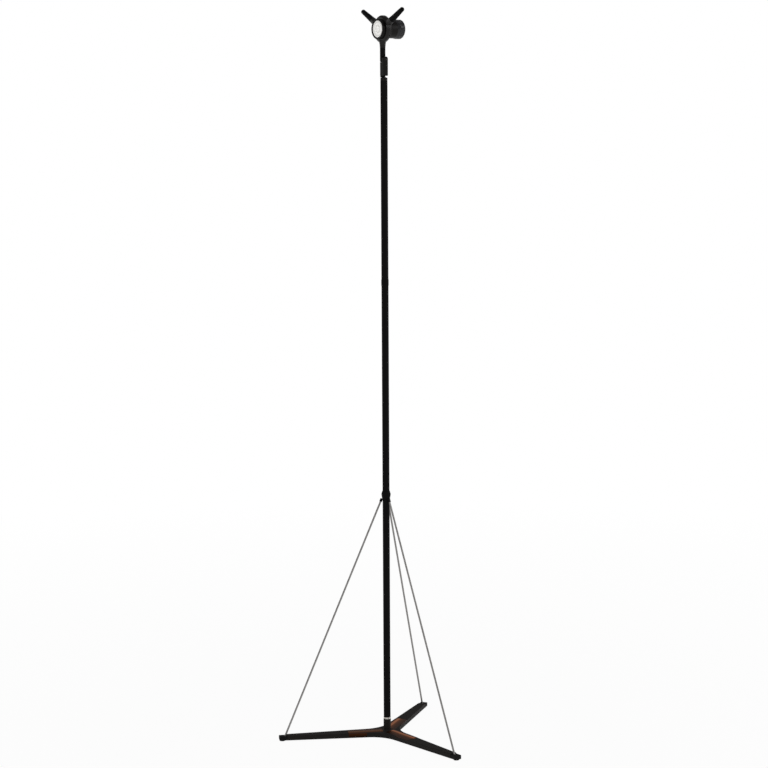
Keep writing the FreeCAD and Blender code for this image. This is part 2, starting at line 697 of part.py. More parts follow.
def make_foot(index):
    """Round pad under a leg cap."""
    foot = cylinder("foot_" + LEG_NAMES[index], S.foot_radius, S.pad_thick)
    spin = FreeCAD.Rotation(FreeCAD.Vector(0, 0, 1), leg_angle(index))
    reach = S.tip_reach.value - S.foot_radius.value - S.edge_round.value
    foot.Placement = FreeCAD.Placement(spin.multVec(FreeCAD.Vector(reach, 0, 0)), spin)
    sub_part(foot, "foot_" + LEG_NAMES[index])


def make_leg_screws():
    """Two screws from below into each hub tongue."""
    screws = []
    for index in range(ARMS):
        spin = FreeCAD.Rotation(FreeCAD.Vector(0, 0, 1), leg_angle(index))
        for reach in (S.screw_inner, S.screw_outer):
            screw = turned("leg_screw", [
                (ZERO, S.pad_thick), (S.screw_head_radius, S.pad_thick),
                (S.screw_head_radius, S.pad_thick + S.screw_head_thick),
                (S.screw_radius, S.pad_thick + S.screw_head_thick),
                (S.screw_radius, tongue_low + S.tongue_thick),
                (ZERO, tongue_low + S.tongue_thick)])
            screw.Placement = FreeCAD.Placement(
                spin.multVec(FreeCAD.Vector(reach.value, 0, 0)), spin)
            screws.append(screw)
    sub_part(group("leg_screw_set", screws), "leg_screws")


# ---------------------------------------------------------------- pole

def make_tube(label, low, high):
    """One length of the pole."""
    sub_part(turned(label, [
        (tube_inner, low), (tube_radius, low), (tube_radius, high), (tube_inner, high)]), label)


def make_plug(label, low, high):
    """Hollow plug that fits inside the tubes."""
    chamfer = S.tube_wall / 2
    sub_part(turned(label, [
        (S.plug_bore / 2, low), (plug_radius - chamfer, low), (plug_radius, low + chamfer),
        (plug_radius, high - chamfer), (plug_radius - chamfer, high), (S.plug_bore / 2, high)]), label)


def make_pole():
    """Ring, tubes, plugs, threaded pipe and nut."""
    sub_part(turned("pole_ring", [
        (S.plug_bore / 2, S.socket_top), (S.ring_radius, S.socket_top),
        (S.ring_radius, pole_foot), (S.plug_bore / 2, pole_foot)]), "pole_ring")
    make_tube("lower_tube", pole_foot, S.lower_joint_height)
    make_tube("middle_tube", S.lower_joint_height, S.upper_joint_height)
    make_tube("upper_tube", S.upper_joint_height, S.pole_top)
    make_plug("pole_plug", pole_foot, pole_foot + S.pole_plug_length)
    make_plug("lower_joint", S.lower_joint_height - S.spigot_reach, S.lower_joint_height + S.spigot_reach)
    make_plug("upper_joint", S.upper_joint_height - S.spigot_reach, S.upper_joint_height + S.spigot_reach)
    sub_part(turned("threaded_pipe", [
        (S.nipple_bore / 2, S.nipple_foot), (S.nipple_outer / 2, S.nipple_foot),
        (S.nipple_outer / 2, pole_foot + S.pole_plug_length),
        (S.nipple_bore / 2, pole_foot + S.pole_plug_length)]), "threaded_pipe")
    nut = doc.addObject("Part::Prism", "pipe_nut_blank")
    nut.Polygon = 6
    bind(nut, "Circumradius", S.nut_width / 2)
    bind(nut, "Height", S.nut_thick)
    hole = cylinder("pipe_nut_hole", S.nipple_outer / 2 + S.screw_gap, S.nut_thick)
    nut_cut = cut("pipe_nut_cut", nut, [hole])
    sub_part(place(nut_cut, z=S.recess_top - S.nut_thick), "pipe_nut")
    gap = tube_radius + S.sleeve_gap
    low = S.upper_joint_height - S.sleeve_below
    high = S.upper_joint_height + S.sleeve_above
    sub_part(turned("joint_sleeve", [
        (gap, low), (S.sleeve_radius, low), (S.sleeve_radius, high - S.tube_wall),
        (gap + S.sleeve_gap, high), (gap, high)]), "joint_sleeve")


def make_lead():
    """Lead inside the pole, from the gland to just under the swivel, in straight runs and one bend."""
    level = S.lead_level.value
    bend = S.lead_bend.value
    out = FreeCAD.Rotation(FreeCAD.Vector(0, 0, 1), GLAND_ANGLE).multVec(FreeCAD.Vector(1, 0, 0))
    up = FreeCAD.Vector(0, 0, 1)
    start = out * (S.crotch_radius.value - S.gland_length.value / 2) + up * level
    turn_in = out * bend + up * level
    middle = (out + up) * bend - (out + up) * (bend / math.sqrt(2)) + up * level
    turn_out = up * (level + bend)
    top = up * (S.pole_top.value + S.bush_flange.value - S.bush_length.value - 2 * S.spigot_length.value)
    path = Part.Wire([
        Part.LineSegment(start, turn_in).toShape(),
        Part.Arc(turn_in, middle, turn_out).toShape(),
        Part.LineSegment(turn_out, top).toShape()])
    circle = Part.Circle(start, out, S.lead_radius.value)
    tube = path.makePipe(Part.Face(Part.Wire([circle.toShape()])))
    lead = doc.addObject("Part::Feature", "pole_lead")
    lead.Shape = tube
    lead.Placement = FreeCAD.Placement()
    sub_part(lead, "pole_lead")


# ---------------------------------------------------------------- stays

def make_collar():
    """Double-coned collar on the pole with a lug for each stay."""
    low = collar_widest - S.collar_fall
    high = collar_widest + S.collar_rise
    ring = turned("collar_ring", [
        (ZERO, low), (S.collar_waist, low), (S.collar_radius, collar_widest - S.tube_wall),
        (S.collar_radius, collar_widest + S.tube_wall), (S.collar_waist, high), (ZERO, high)])
    solids = [ring]
    tools = [place(cylinder("collar_bore", tube_radius + S.sleeve_gap, S.collar_rise + S.collar_fall * 3),
                   z=collar_widest - S.collar_fall * 2)]
    for index in range(ARMS):
        solids.append(on_stay(cylinder("collar_lug", S.lug_radius, S.lug_above + S.lug_below),
                              -S.lug_above, index))
        tools.append(on_stay(cylinder("collar_hole", S.stay_radius + S.stay_gap, S.lug_below * 2),
                             -S.stay_gap, index))
    sub_part(cut("collar_cut", fused("collar_solid", solids), tools), "stay_collar")


def make_stay(index):
    """Straight steel stay from the collar into a leg."""
    stay = cylinder("stay_" + LEG_NAMES[index], S.stay_radius, stay_span + S.stay_foot_depth)
    sub_part(on_stay(stay, ZERO, index), "stay_" + LEG_NAMES[index])


def make_nipples():
    """Nipple round the lower end of each stay, inside the leg."""
    nipples = []
    for index in range(ARMS):
        start = stay_span + S.stay_foot_depth - S.nipple_length
        outer = on_stay(cylinder("nipple_outer_face", S.nipple_radius, S.nipple_length), start, index)
        inner = on_stay(cylinder("nipple_hole", S.stay_radius + S.stay_gap / 3, S.nipple_length), start, index)
        nipples.append(cut("stay_nipple", outer, [inner]))
    sub_part(group("stay_nipple_set", nipples), "stay_nipples")


# ---------------------------------------------------------------- pan joint

def make_bush():
    """Bush in the top of the pole, with a flange on the tube's end."""
    foot = bush_top - S.bush_length
    bore = S.spindle_radius + S.running_gap
    sub_part(turned("top_bush", [
        (bore, foot), (plug_radius, foot), (plug_radius, S.pole_top), (tube_radius - 0.4, S.pole_top),
        (tube_radius, S.pole_top + 0.8), (tube_radius, bush_top - 0.8),
        (tube_radius - 0.8, bush_top), (bore, bush_top)]), "top_bush")
    sub_part(turned("pan_washer", [
        (S.spindle_radius + S.pin_nut_room, bush_top), (S.neck_radius, bush_top),
        (S.neck_radius, bush_top + S.washer_thick),
        (S.spindle_radius + S.pin_nut_room, bush_top + S.washer_thick)]), "pan_washer")
    spindle_foot = bush_top - S.bush_length - S.face_gap * 3 - S.pan_nut_thick
    sub_part(turned("pan_nut", [
        (S.spindle_radius + S.tube_gap, spindle_foot), (S.pan_nut_radius, spindle_foot),
        (S.pan_nut_radius, spindle_foot + S.pan_nut_thick),
        (S.spindle_radius + S.tube_gap, spindle_foot + S.pan_nut_thick)]), "pan_nut")


def knuckle_section(name, low, height):
    """Bar whose left side is round like the stem and whose right side is a flat cheek."""
    body = new_body(name)
    half = S.stem_radius - S.face_gap
    bevel = S.knuckle_chamfer
    flat = outline(body, "XY_Plane", [
        (-S.stem_offset, -half), (S.knuckle_side - bevel, -half), (S.knuckle_side, -half + bevel),
        (S.knuckle_side, half - bevel), (S.knuckle_side - bevel, half), (-S.stem_offset, half)],
        lift=low)
    pad(body, flat, height)
    side = place(cylinder(name + "_side", half, height), x=-S.stem_offset, z=low)
    return fused(name + "_whole", [body, side])


def make_knuckle():
    """Swivel: spindle, neck and knuckle, with one ear of the lap joint on the right."""
    spindle_foot = bush_top - S.bush_length - S.face_gap * 3 - S.pan_nut_thick
    spindle = turned("spindle", [
        (ZERO, spindle_foot), (S.spindle_radius, spindle_foot),
        (S.spindle_radius, neck_foot + S.knuckle_chamfer), (ZERO, neck_foot + S.knuckle_chamfer)])
    neck = place(cylinder("knuckle_neck", S.neck_radius, S.neck_height + S.knuckle_chamfer),
                 x=-S.stem_offset, z=neck_foot)
    bar = knuckle_section("knuckle_bar", knuckle_foot, S.knuckle_height)
    lap_floor = pivot_height - S.stem_radius - S.lap_gap
    room = block("lap_room", S.stem_radius * 4, S.stem_radius * 4, S.knuckle_height)
    place(room, x=-(S.lap_face + S.stem_radius * 4), y=-(S.stem_radius * 2), z=lap_floor)
    sideways = FreeCAD.Rotation(FreeCAD.Vector(0, 1, 0), 90)
    corner_low = pivot_height
    corners = place(block("ear_corners", S.stem_radius * 4, S.stem_radius * 4, S.stem_radius * 2),
                    x=-(S.stem_radius * 2), y=-(S.stem_radius * 2), z=corner_low)
    round_end = place(cylinder("ear_round", S.stem_radius - S.face_gap, S.stem_radius * 4),
                      x=-(S.stem_radius * 2), z=pivot_height, first=sideways)
    corner_tool = cut("ear_end", corners, [round_end])
    pin_hole = place(cylinder("ear_pin_hole", S.pin_radius + S.tube_gap, S.stem_radius * 4),
                     x=-(S.stem_radius * 2), z=pivot_height, first=sideways)
    head_hole = place(cylinder("ear_head_hole", S.pin_head_radius + S.screw_gap, S.stem_radius * 2),
                      x=S.knuckle_side - S.pin_head_thick, z=pivot_height, first=sideways)
    wire_hole = place(cylinder("spindle_hole", S.spindle_bore / 2, neck_foot - spindle_foot),
                      z=spindle_foot - 1)
    wire_way = place(cylinder("neck_hole", S.spindle_bore / 3, S.neck_height + S.knuckle_height / 2),
                     x=-(S.stem_offset / 3), z=neck_foot - 2)
    trim = S.stem_radius * 3
    bevel_ring = place(cut("knuckle_bevel", cylinder("knuckle_bevel_block", trim, S.knuckle_chamfer),
                           [cone("knuckle_bevel_cone", S.stem_radius + S.knuckle_chamfer,
                                 S.stem_radius + S.knuckle_chamfer * 4, S.knuckle_chamfer)]),
                       z=knuckle_foot)
    solid = cut("knuckle_cut", fused("knuckle_solid", [spindle, neck, cut("knuckle_trim", bar, [bevel_ring])]),
                [room, corner_tool, pin_hole, head_hole, wire_hole, wire_way])
    sub_part(solid, "knuckle")


def make_tilt_pin():
    """Pin through ear and tongue, its round nut, and the friction washer between the cheeks."""
    sideways = FreeCAD.Rotation(FreeCAD.Vector(0, 1, 0), 90)
    left_end = S.stem_offset + S.stem_radius - S.knuckle_chamfer / 2
    length = left_end + S.knuckle_side
    pin = turned("pin_blank", [
        (ZERO, ZERO), (S.pin_radius, ZERO), (S.pin_radius, length - S.pin_head_thick + S.face_gap),
        (S.pin_head_radius, length - S.pin_head_thick + S.face_gap), (S.pin_head_radius, length - 0.6),
        (S.pin_head_radius - 0.6, length), (ZERO, length)])
    slot = place(block("pin_slot", S.pin_radius * 0.4, S.pin_head_radius * 4, S.pin_radius),
                 x=-(S.pin_radius * 0.2), y=-(S.pin_head_radius * 2), z=length - 0.9)
    pin_cut = cut("tilt_pin_cut", pin, [slot])
    sub_part(place(pin_cut, x=-left_end, z=pivot_height, first=sideways), "tilt_pin")
    nut = turned("tilt_nut", [
        (S.pin_radius + S.tube_gap, ZERO), (S.pin_nut_radius - 0.5, ZERO), (S.pin_nut_radius, as_size(0.5)),
        (S.pin_nut_radius, S.pin_nut_thick), (S.pin_radius + S.tube_gap, S.pin_nut_thick)])
    sub_part(place(nut, x=-left_end, z=pivot_height, first=sideways), "tilt_nut")
    washer = turned("tilt_washer", [
        (S.pin_radius + S.running_gap * 2, ZERO), (S.stem_radius - 0.8, ZERO),
        (S.stem_radius - 0.8, S.washer_thick), (S.pin_radius + S.running_gap * 2, S.washer_thick)])
    sub_part(place(washer, x=-(S.lap_face + S.washer_thick + S.face_gap), z=pivot_height, first=sideways),
             "tilt_washer")


# ---------------------------------------------------------------- head

stem_top = head_height - S.arm_reach


def make_stem():
    """Stem: round bar with the tongue of the lap joint at its foot and a spigot at its top."""
    foot = pivot_height - S.stem_radius
    bar = turned("stem_bar", [
        (ZERO, foot), (S.stem_radius, foot), (S.stem_radius, stem_top),
        (S.spigot_radius, stem_top), (S.spigot_radius, stem_top + S.spigot_length),
        (ZERO, stem_top + S.spigot_length)])
    place(bar, x=-S.stem_offset)
    sideways = FreeCAD.Rotation(FreeCAD.Vector(0, 1, 0), 90)
    inner = S.lap_face + S.washer_thick + S.face_gap
    shoulder = pivot_height + S.stem_radius + S.lap_gap
    room = place(block("ear_room", S.stem_radius * 4, S.stem_radius * 4, S.stem_radius * 4),
                 x=-inner, y=-(S.stem_radius * 2), z=shoulder - S.stem_radius * 4)
    corners = place(block("tongue_corners", S.stem_radius * 6, S.stem_radius * 4, S.stem_radius * 2),
                    x=-(S.stem_radius * 3), y=-(S.stem_radius * 2), z=pivot_height - S.stem_radius * 2)
    round_end = place(cylinder("tongue_round", S.stem_radius, S.stem_radius * 6),
                      x=-(S.stem_radius * 3), z=pivot_height, first=sideways)
    corner_tool = cut("tongue_end", corners, [round_end])
    pin_hole = place(cylinder("tongue_pin_hole", S.pin_radius + S.running_gap, S.stem_radius * 6),
                     x=-(S.stem_radius * 3), z=pivot_height, first=sideways)
    nut_seat = S.stem_offset + S.stem_radius - S.knuckle_chamfer / 2 - S.pin_nut_thick - S.face_gap
    nut_hole = place(cylinder("tongue_nut_hole", S.pin_nut_radius + S.pin_nut_room, S.stem_radius * 2),
                     x=-(nut_seat + S.stem_radius * 2), z=pivot_height, first=sideways)
    bore = place(cylinder("stem_wire_bore", S.stem_bore / 2, head_height),
                 x=-S.stem_offset, z=shoulder + S.lap_gap * 4)
    solid = cut("stem_cut", bar, [room, corner_tool, pin_hole, nut_hole, bore])
    sub_part(solid, "stem")


def in_head(thing, angle=0.0):
    """Lay a piece that is turned about its own Z along the lamp's axis, its front end foremost."""
    back = FreeCAD.Rotation(FreeCAD.Vector(1, 0, 0), -90)
    roll = FreeCAD.Rotation(FreeCAD.Vector(0, 1, 0), -as_size(angle).value)
    return place(thing, x=-S.stem_offset, y=-S.head_front, z=head_height, first=roll * back)


def radial(thing, angle, reach):
    """Stand a piece on its Z axis along a spoke of the yoke, at an angle over the level."""
    spoke = FreeCAD.Rotation(FreeCAD.Vector(0, 1, 0), 90 - angle)
    spot = spoke.multVec(FreeCAD.Vector(0, 0, as_size(reach).value))
    shift = FreeCAD.Vector(-S.stem_offset.value, 0, head_height.value)
    thing.Placement = FreeCAD.Placement(shift + spot, spoke)
    return thing


ARM_ANGLES = (-90.0, S.handle_angle.value, 180.0 - S.handle_angle.value)
GRUB_ANGLES = (90.0, -90.0 + 60.0, -90.0 - 60.0)


def make_yoke():
    """Yoke: crowned ring round the barrel with three flared arms."""
    bore = S.barrel_radius + S.barrel_fit
    front = S.head_front - S.yoke_half
    rear = S.head_front + S.yoke_half
    ring = turned("yoke_ring", [
        (ZERO, front), (S.yoke_front_radius, front), (S.yoke_radius - 0.8, S.head_front - S.crown_half - 0.8),
        (S.yoke_radius, S.head_front - S.crown_half), (S.yoke_radius, S.head_front + S.crown_half),
        (S.yoke_radius - 0.8, S.head_front + S.crown_half + 0.8),
        (S.yoke_rear_radius, rear), (ZERO, rear)])
    solids = [in_head(ring)]
    arm_ends = (S.stem_radius + S.arm_lip, S.handle_root + S.arm_lip, S.handle_root + S.arm_lip)
    for angle, arm_end in zip(ARM_ANGLES, arm_ends):
        arm = turned("yoke_arm", [
            (ZERO, S.arm_root_reach - 2), (S.arm_root - 1, S.arm_root_reach - 2),
            (S.arm_root - 0.4, S.arm_root_reach + 3), (S.arm_root - 1.5, S.yoke_radius - 1.5),
            (arm_end + S.arm_swell, S.arm_waist_reach), (arm_end, S.arm_reach), (ZERO, S.arm_reach)])
        solids.append(radial(arm, angle, 0.0))
    tools = [in_head(cylinder("yoke_bore", bore, S.head_front * 2))]
    for angle in ARM_ANGLES:
        hole = cylinder("arm_hole", S.spigot_radius + S.tube_gap, S.arm_reach)
        tools.append(radial(hole, angle, S.arm_reach - S.spigot_length - S.face_gap))
    wire_way = cylinder("yoke_wire_way", S.stem_bore / 2, S.arm_reach)
    tools.append(radial(wire_way, ARM_ANGLES[0], ZERO))
    for angle in GRUB_ANGLES:
        tools.append(radial(cylinder("grub_hole", S.grub_radius + S.tube_gap, S.yoke_radius), angle, ZERO))
    sub_part(cut("yoke_cut", fused("yoke_solid", solids), tools), "yoke")


def make_handle(label, angle):
    """Tapered handle with a spigot at its root and a round tip."""
    body = new_body(label)
    turned_handle = revolve(body, [
        (ZERO, S.arm_reach - S.spigot_length), (S.spigot_radius, S.arm_reach - S.spigot_length),
        (S.spigot_radius, S.arm_reach), (S.handle_root, S.arm_reach),
        (S.handle_tip, S.handle_reach - S.handle_tip), (S.handle_tip, S.handle_reach), (ZERO, S.handle_reach)])
    doc.recompute()
    names = []
    for number, edge in enumerate(turned_handle.Shape.Edges, start=1):
        box = edge.BoundBox
        if box.ZMin > S.handle_reach.value - 0.01 and box.XLength > 1:
            names.append("Edge%d" % number)
    rounded = body.newObject("PartDesign::Fillet", "round_tip")
    rounded.Base = (turned_handle, names)
    bind(rounded, "Radius", S.handle_tip * 0.9)
    body.Tip = rounded
    sub_part(radial(body, angle, 0.0), label)


def make_grubs():
    """Grub screws that hold the barrel in the yoke."""
    grubs = []
    low = S.barrel_radius + S.barrel_fit
    for angle in GRUB_ANGLES:
        grub = turned("grub", [
            (ZERO, low), (S.grub_radius, low), (S.grub_radius, S.yoke_radius - S.grub_sink),
            (S.grub_radius / 2, S.yoke_radius - S.grub_sink), (S.grub_radius / 2, S.yoke_radius - S.grub_sink * 4),
            (ZERO, S.yoke_radius - S.grub_sink * 4)])
        grubs.append(radial(grub, angle, 0.0))
    sub_part(group("grub_set", grubs), "yoke_screws")


def make_lamp():
    """Barrel, bezel, lens, reflector, board, pad, heat sink and rear cap, from front to rear."""
    lens_front = S.bezel_lip
    lens_rear = lens_front + S.lens_thick
    barrel_front = lens_rear + S.barrel_fit
    barrel_inner = S.barrel_waist - S.barrel_wall
    barrel = turned("barrel_turned", [
        (barrel_inner, barrel_front), (S.thread_radius, barrel_front),
        (S.thread_radius, S.bezel_length + S.barrel_fit),
        (S.barrel_radius, S.bezel_length + S.barrel_fit), (S.barrel_radius, S.barrel_step),
        (S.barrel_waist, S.barrel_step + 2), (S.barrel_waist, S.barrel_end), (barrel_inner, S.barrel_end)])
    in_head(barrel)
    way_in = radial(cylinder("barrel_way_in", S.stem_bore / 2, S.barrel_radius * 2), ARM_ANGLES[0],
                    S.barrel_radius / 2)
    sub_part(cut("barrel_cut", barrel, [way_in]), "barrel")
    bezel = turned("bezel", [
        (S.bezel_aperture, S.bezel_round * 0.4), (S.bezel_aperture + S.bezel_round, ZERO),
        (S.bezel_radius - S.bezel_round, ZERO), (S.bezel_radius, S.bezel_round),
        (S.bezel_radius, S.bezel_length), (S.thread_radius + S.barrel_fit, S.bezel_length),
        (S.thread_radius + S.barrel_fit, lens_front), (S.bezel_aperture, lens_front)])
    sub_part(in_head(bezel), "bezel")
    lens = turned("lens", [
        (ZERO, lens_front), (S.lens_radius, lens_front), (S.lens_radius, lens_rear), (ZERO, lens_rear)])
    sub_part(in_head(lens), "lens")
    mouth = lens_rear + S.pad_film
    throat = S.board_place - S.barrel_fit
    wall = S.reflector_wall
    reflector = turned("reflector", [
        (S.reflector_throat, throat), (S.reflector_throat + wall, throat),
        (S.reflector_mouth, mouth + wall * 2), (S.reflector_mouth, mouth),
        (S.reflector_mouth - wall, mouth), (S.reflector_mouth - wall, mouth + wall * 2)])
    sub_part(in_head(reflector), "reflector")
    board_rear = S.board_place + S.board_thick
    board = turned("light_board", [
        (ZERO, S.board_place - S.emitter_thick), (S.emitter_radius, S.board_place - S.emitter_thick),
        (S.emitter_radius, S.board_place), (S.board_radius, S.board_place),
        (S.board_radius, board_rear), (ZERO, board_rear)])
    sub_part(in_head(board), "light_board")
    film_rear = board_rear + S.pad_film
    film = cylinder("heat_pad", S.board_radius, S.pad_film)
    back = FreeCAD.Rotation(FreeCAD.Vector(1, 0, 0), -90)
    sub_part(place(film, x=-S.stem_offset, y=-S.head_front + board_rear, z=head_height, first=back),
             "heat_pad")
    make_sink(barrel_inner - S.barrel_fit, film_rear)
    make_cap()


def make_sink(plug, front):
    """Heat sink: plug inside the barrel, then a flared body with flutes all round."""
    body = turned("sink_blank", [
        (ZERO, front), (plug, front), (plug, S.barrel_end), (S.barrel_waist, S.barrel_end),
        (S.sink_radius, S.sink_shoulder), (S.sink_radius, S.sink_end - 1.5),
        (S.sink_radius - 1.5, S.sink_end), (ZERO, S.sink_end)])
    flute = ring_outline(body, "XY_Plane", S.flute_radius, lift=S.flute_start, centre=S.flute_place)
    first = pocket(body, flute, S.sink_end - S.flute_start + 5, upward=True)
    doc.recompute()
    around = body.newObject("PartDesign::PolarPattern", "flutes")
    around.Originals = [first]
    around.Axis = (flute, ["N_Axis"])
    around.Angle = 360
    around.Occurrences = FLUTES
    for feature in body.Origin.OriginFeatures:
        if feature.Role == "Z_Axis":
            around.Axis = (feature, [""])
    body.Tip = around
    tools = []
    for index in range(ARMS):
        hole = cylinder("cap_screw_hole", S.cap_screw_radius, S.cap_screw_length + 5)
        angle = math.radians(90 + index * 360.0 / ARMS)
        hole.Placement = FreeCAD.Placement(FreeCAD.Vector(
            S.cap_screw_place.value * math.cos(angle), S.cap_screw_place.value * math.sin(angle),
            S.sink_end.value - S.cap_screw_length.value), FreeCAD.Rotation())
        tools.append(hole)
    sub_part(in_head(cut("heat_sink_cut", body, tools)), "heat_sink")


def make_cap():
    """Rear cap and its three screws."""
    rear = S.sink_end + S.cap_thick
    cap = turned("rear_cap_turned", [
        (ZERO, S.sink_end), (S.cap_radius, S.sink_end), (S.cap_radius, rear - S.cap_round),
        (S.cap_radius - S.cap_round, rear), (ZERO, rear)])
    holes = []
    screws = []
    for index in range(ARMS):
        angle = math.radians(90 + index * 360.0 / ARMS)
        spot = FreeCAD.Vector(S.cap_screw_place.value * math.cos(angle),
                              S.cap_screw_place.value * math.sin(angle), 0)
        hole = cylinder("cap_hole", S.cap_screw_radius + S.screw_gap, rear + 5)
        hole.Placement = FreeCAD.Placement(spot, FreeCAD.Rotation())
        holes.append(hole)
        screw = turned("cap_screw", [
            (ZERO, S.sink_end - S.cap_screw_length + 1), (S.cap_screw_radius, S.sink_end - S.cap_screw_length + 1),
            (S.cap_screw_radius, rear), (S.cap_screw_head, rear),
            (S.cap_screw_head, rear + S.cap_screw_rise * 0.6),
            (S.cap_screw_head - 0.6, rear + S.cap_screw_rise), (ZERO, rear + S.cap_screw_rise)])
        screw.Placement = FreeCAD.Placement(spot, FreeCAD.Rotation())
        screws.append(screw)
    sub_part(in_head(cut("rear_cap_cut", cap, holes)), "rear_cap")
    sub_part(in_head(group("cap_screw_set", screws)), "rear_screws")


def make_head_lead():
    """Lead inside the stem, from over the tilt joint into the barrel."""
    low = pivot_height + S.stem_radius + S.lap_gap * 6
    high = head_height - S.barrel_radius + S.barrel_wall * 3
    lead = cylinder("head_lead", S.lead_radius, high - low)
    sub_part(place(lead, x=-S.stem_offset, z=low), "head_lead")


# ---------------------------------------------------------------- build and write

def build():
    """Make every sub-part."""
    make_hub()
    for index in range(ARMS):
        make_leg(index)
        make_accent(index)
        make_tip(index)
        make_foot(index)
    sub_part(cylinder("hub_pad", S.hub_pad_radius, S.pad_thick), "hub_pad")
    make_leg_screws()
    make_gland()
    make_pole()
    make_lead()
    make_collar()
    for index in range(ARMS):
        make_stay(index)
    make_nipples()
    make_bush()
    make_knuckle()
    make_tilt_pin()
    make_stem()
    make_yoke()
    make_handle("handle_right", ARM_ANGLES[1])
    make_handle("handle_left", ARM_ANGLES[2])
    make_grubs()
    make_lamp()
    make_head_lead()
    doc.recompute()


def check():
    """Stop if an object failed or a sub-part has no valid shape."""
    for thing in doc.Objects:
        if "Invalid" in thing.State or "Error" in thing.State:
            raise RuntimeError("failed: " + thing.Name + " " + thing.Label)
    for part in PARTS:
        if part.Shape.isNull() or not part.Shape.isValid() or not part.Shape.Solids:
            raise RuntimeError("no valid solid: " + part.Label)


def write():
    """Write each sub-part to its own file."""
    os.makedirs("parts", exist_ok=True)
    for part in PARTS:
        part.Shape.exportStep(os.path.join("parts", part.Label + ".step"))
        box = part.Shape.BoundBox
        print("%-16s solids %d volume %10.1f z %8.2f %8.2f" % (
            part.Label, len(part.Shape.Solids), part.Shape.Volume, box.ZMin, box.ZMax))


build()
check()
write()
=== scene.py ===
"""Looks for the spotlight floor lamp: finishes, fine pieces, floor, light and camera.

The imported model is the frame. Every object is in metres: +Z up, the floor at 0, the lamp facing -Y.
"""

import logging
import math
from dataclasses import dataclass, field
from enum import Enum
from typing import Callable, Dict, Iterable, Optional, Sequence, Tuple, Union

import bpy
from mathutils import Matrix, Vector

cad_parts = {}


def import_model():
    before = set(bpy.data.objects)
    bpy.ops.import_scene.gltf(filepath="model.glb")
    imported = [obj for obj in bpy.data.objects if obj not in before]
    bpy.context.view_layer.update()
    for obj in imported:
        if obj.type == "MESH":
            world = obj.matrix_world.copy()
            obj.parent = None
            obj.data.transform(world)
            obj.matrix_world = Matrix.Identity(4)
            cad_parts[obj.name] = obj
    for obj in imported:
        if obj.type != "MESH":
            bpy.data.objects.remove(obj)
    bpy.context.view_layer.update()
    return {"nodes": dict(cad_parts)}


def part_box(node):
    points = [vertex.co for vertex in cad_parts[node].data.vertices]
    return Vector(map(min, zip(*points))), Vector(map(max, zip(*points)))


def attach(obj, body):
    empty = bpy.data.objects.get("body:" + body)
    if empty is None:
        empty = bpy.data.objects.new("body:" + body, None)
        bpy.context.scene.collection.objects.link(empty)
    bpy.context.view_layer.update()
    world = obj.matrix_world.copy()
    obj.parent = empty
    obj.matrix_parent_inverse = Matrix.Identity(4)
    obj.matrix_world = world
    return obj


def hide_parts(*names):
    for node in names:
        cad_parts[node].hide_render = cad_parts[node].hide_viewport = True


LOG = logging.getLogger("lamp")
MM = 0.001

Colour = Tuple[float, float, float, float]
Place = Tuple[float, float, float]
SocketKey = Union[str, int]

WHITE: Colour = (1.0, 1.0, 1.0, 1.0)

# the colour mix node has several sockets of one name, so these go by number
MIX_SHARE, MIX_FIRST, MIX_SECOND, MIX_RESULT = 0, 6, 7, 2
# the shader mix node's two shaders
LOWER_SHADER, UPPER_SHADER = 1, 2
# the wave texture turns its wave by 20 radians for each unit of scaled distance
WAVE_RADIANS = 20.0

# corners nearer the axis than this are on it, and corners nearer each other than the next are one
ON_AXIS = 1e-7
WELD = 2e-6


# ------------------------------------------------------------------ small helpers

def linear(code: str) -> Colour:
    """Turn an sRGB hex colour into linear values, by the sRGB curve.

    Args:
        code: six hex digits, with or without a leading hash.
    Returns:
        The colour as linear red, green, blue and an alpha of one.
    """
    digits = code.lstrip("#")
    values = []
    for start in (0, 2, 4):
        share = int(digits[start:start + 2], 16) / 255.0
        values.append(share / 12.92 if share <= 0.04045 else ((share + 0.055) / 1.055) ** 2.4)
    return (values[0], values[1], values[2], 1.0)


def add_node(tree: bpy.types.NodeTree, kind: str,
             settings: Optional[Dict[SocketKey, object]] = None,
             links: Optional[Dict[SocketKey, bpy.types.NodeSocket]] = None) -> bpy.types.Node:
    """Add a node with its settings and its incoming links.

    Args:
        tree: the node tree.
        kind: the node's type name.
        settings: values by name; a number, or the name of an input, sets that input, and any
            other name sets a property.
        links: sockets by the name or number of the input they go to.
    Returns:
        The new node.
    """
    node = tree.nodes.new(kind)
    for key, value in (settings or {}).items():
        if isinstance(key, int) or key in node.inputs:
            node.inputs[key].default_value = value
        else:
            setattr(node, key, value)
    for key, socket in (links or {}).items():
        tree.links.new(socket, node.inputs[key])
    return node


def deselect() -> None:
    """Leave edit mode and select nothing."""
    if bpy.context.object is not None and bpy.context.object.mode != "OBJECT":
        bpy.ops.object.mode_set(mode="OBJECT")
    bpy.ops.object.select_all(action="DESELECT")


def take_up(piece: bpy.types.Object) -> None:
    """Select one piece alone and make it the active one.

    Args:
        piece: the object.
    """
    deselect()
    piece.select_set(True)
    bpy.context.view_layer.objects.active = piece


class Pick(Enum):
    """What is picked in edit mode."""

    CORNERS = "VERT"
    EDGES = "EDGE"


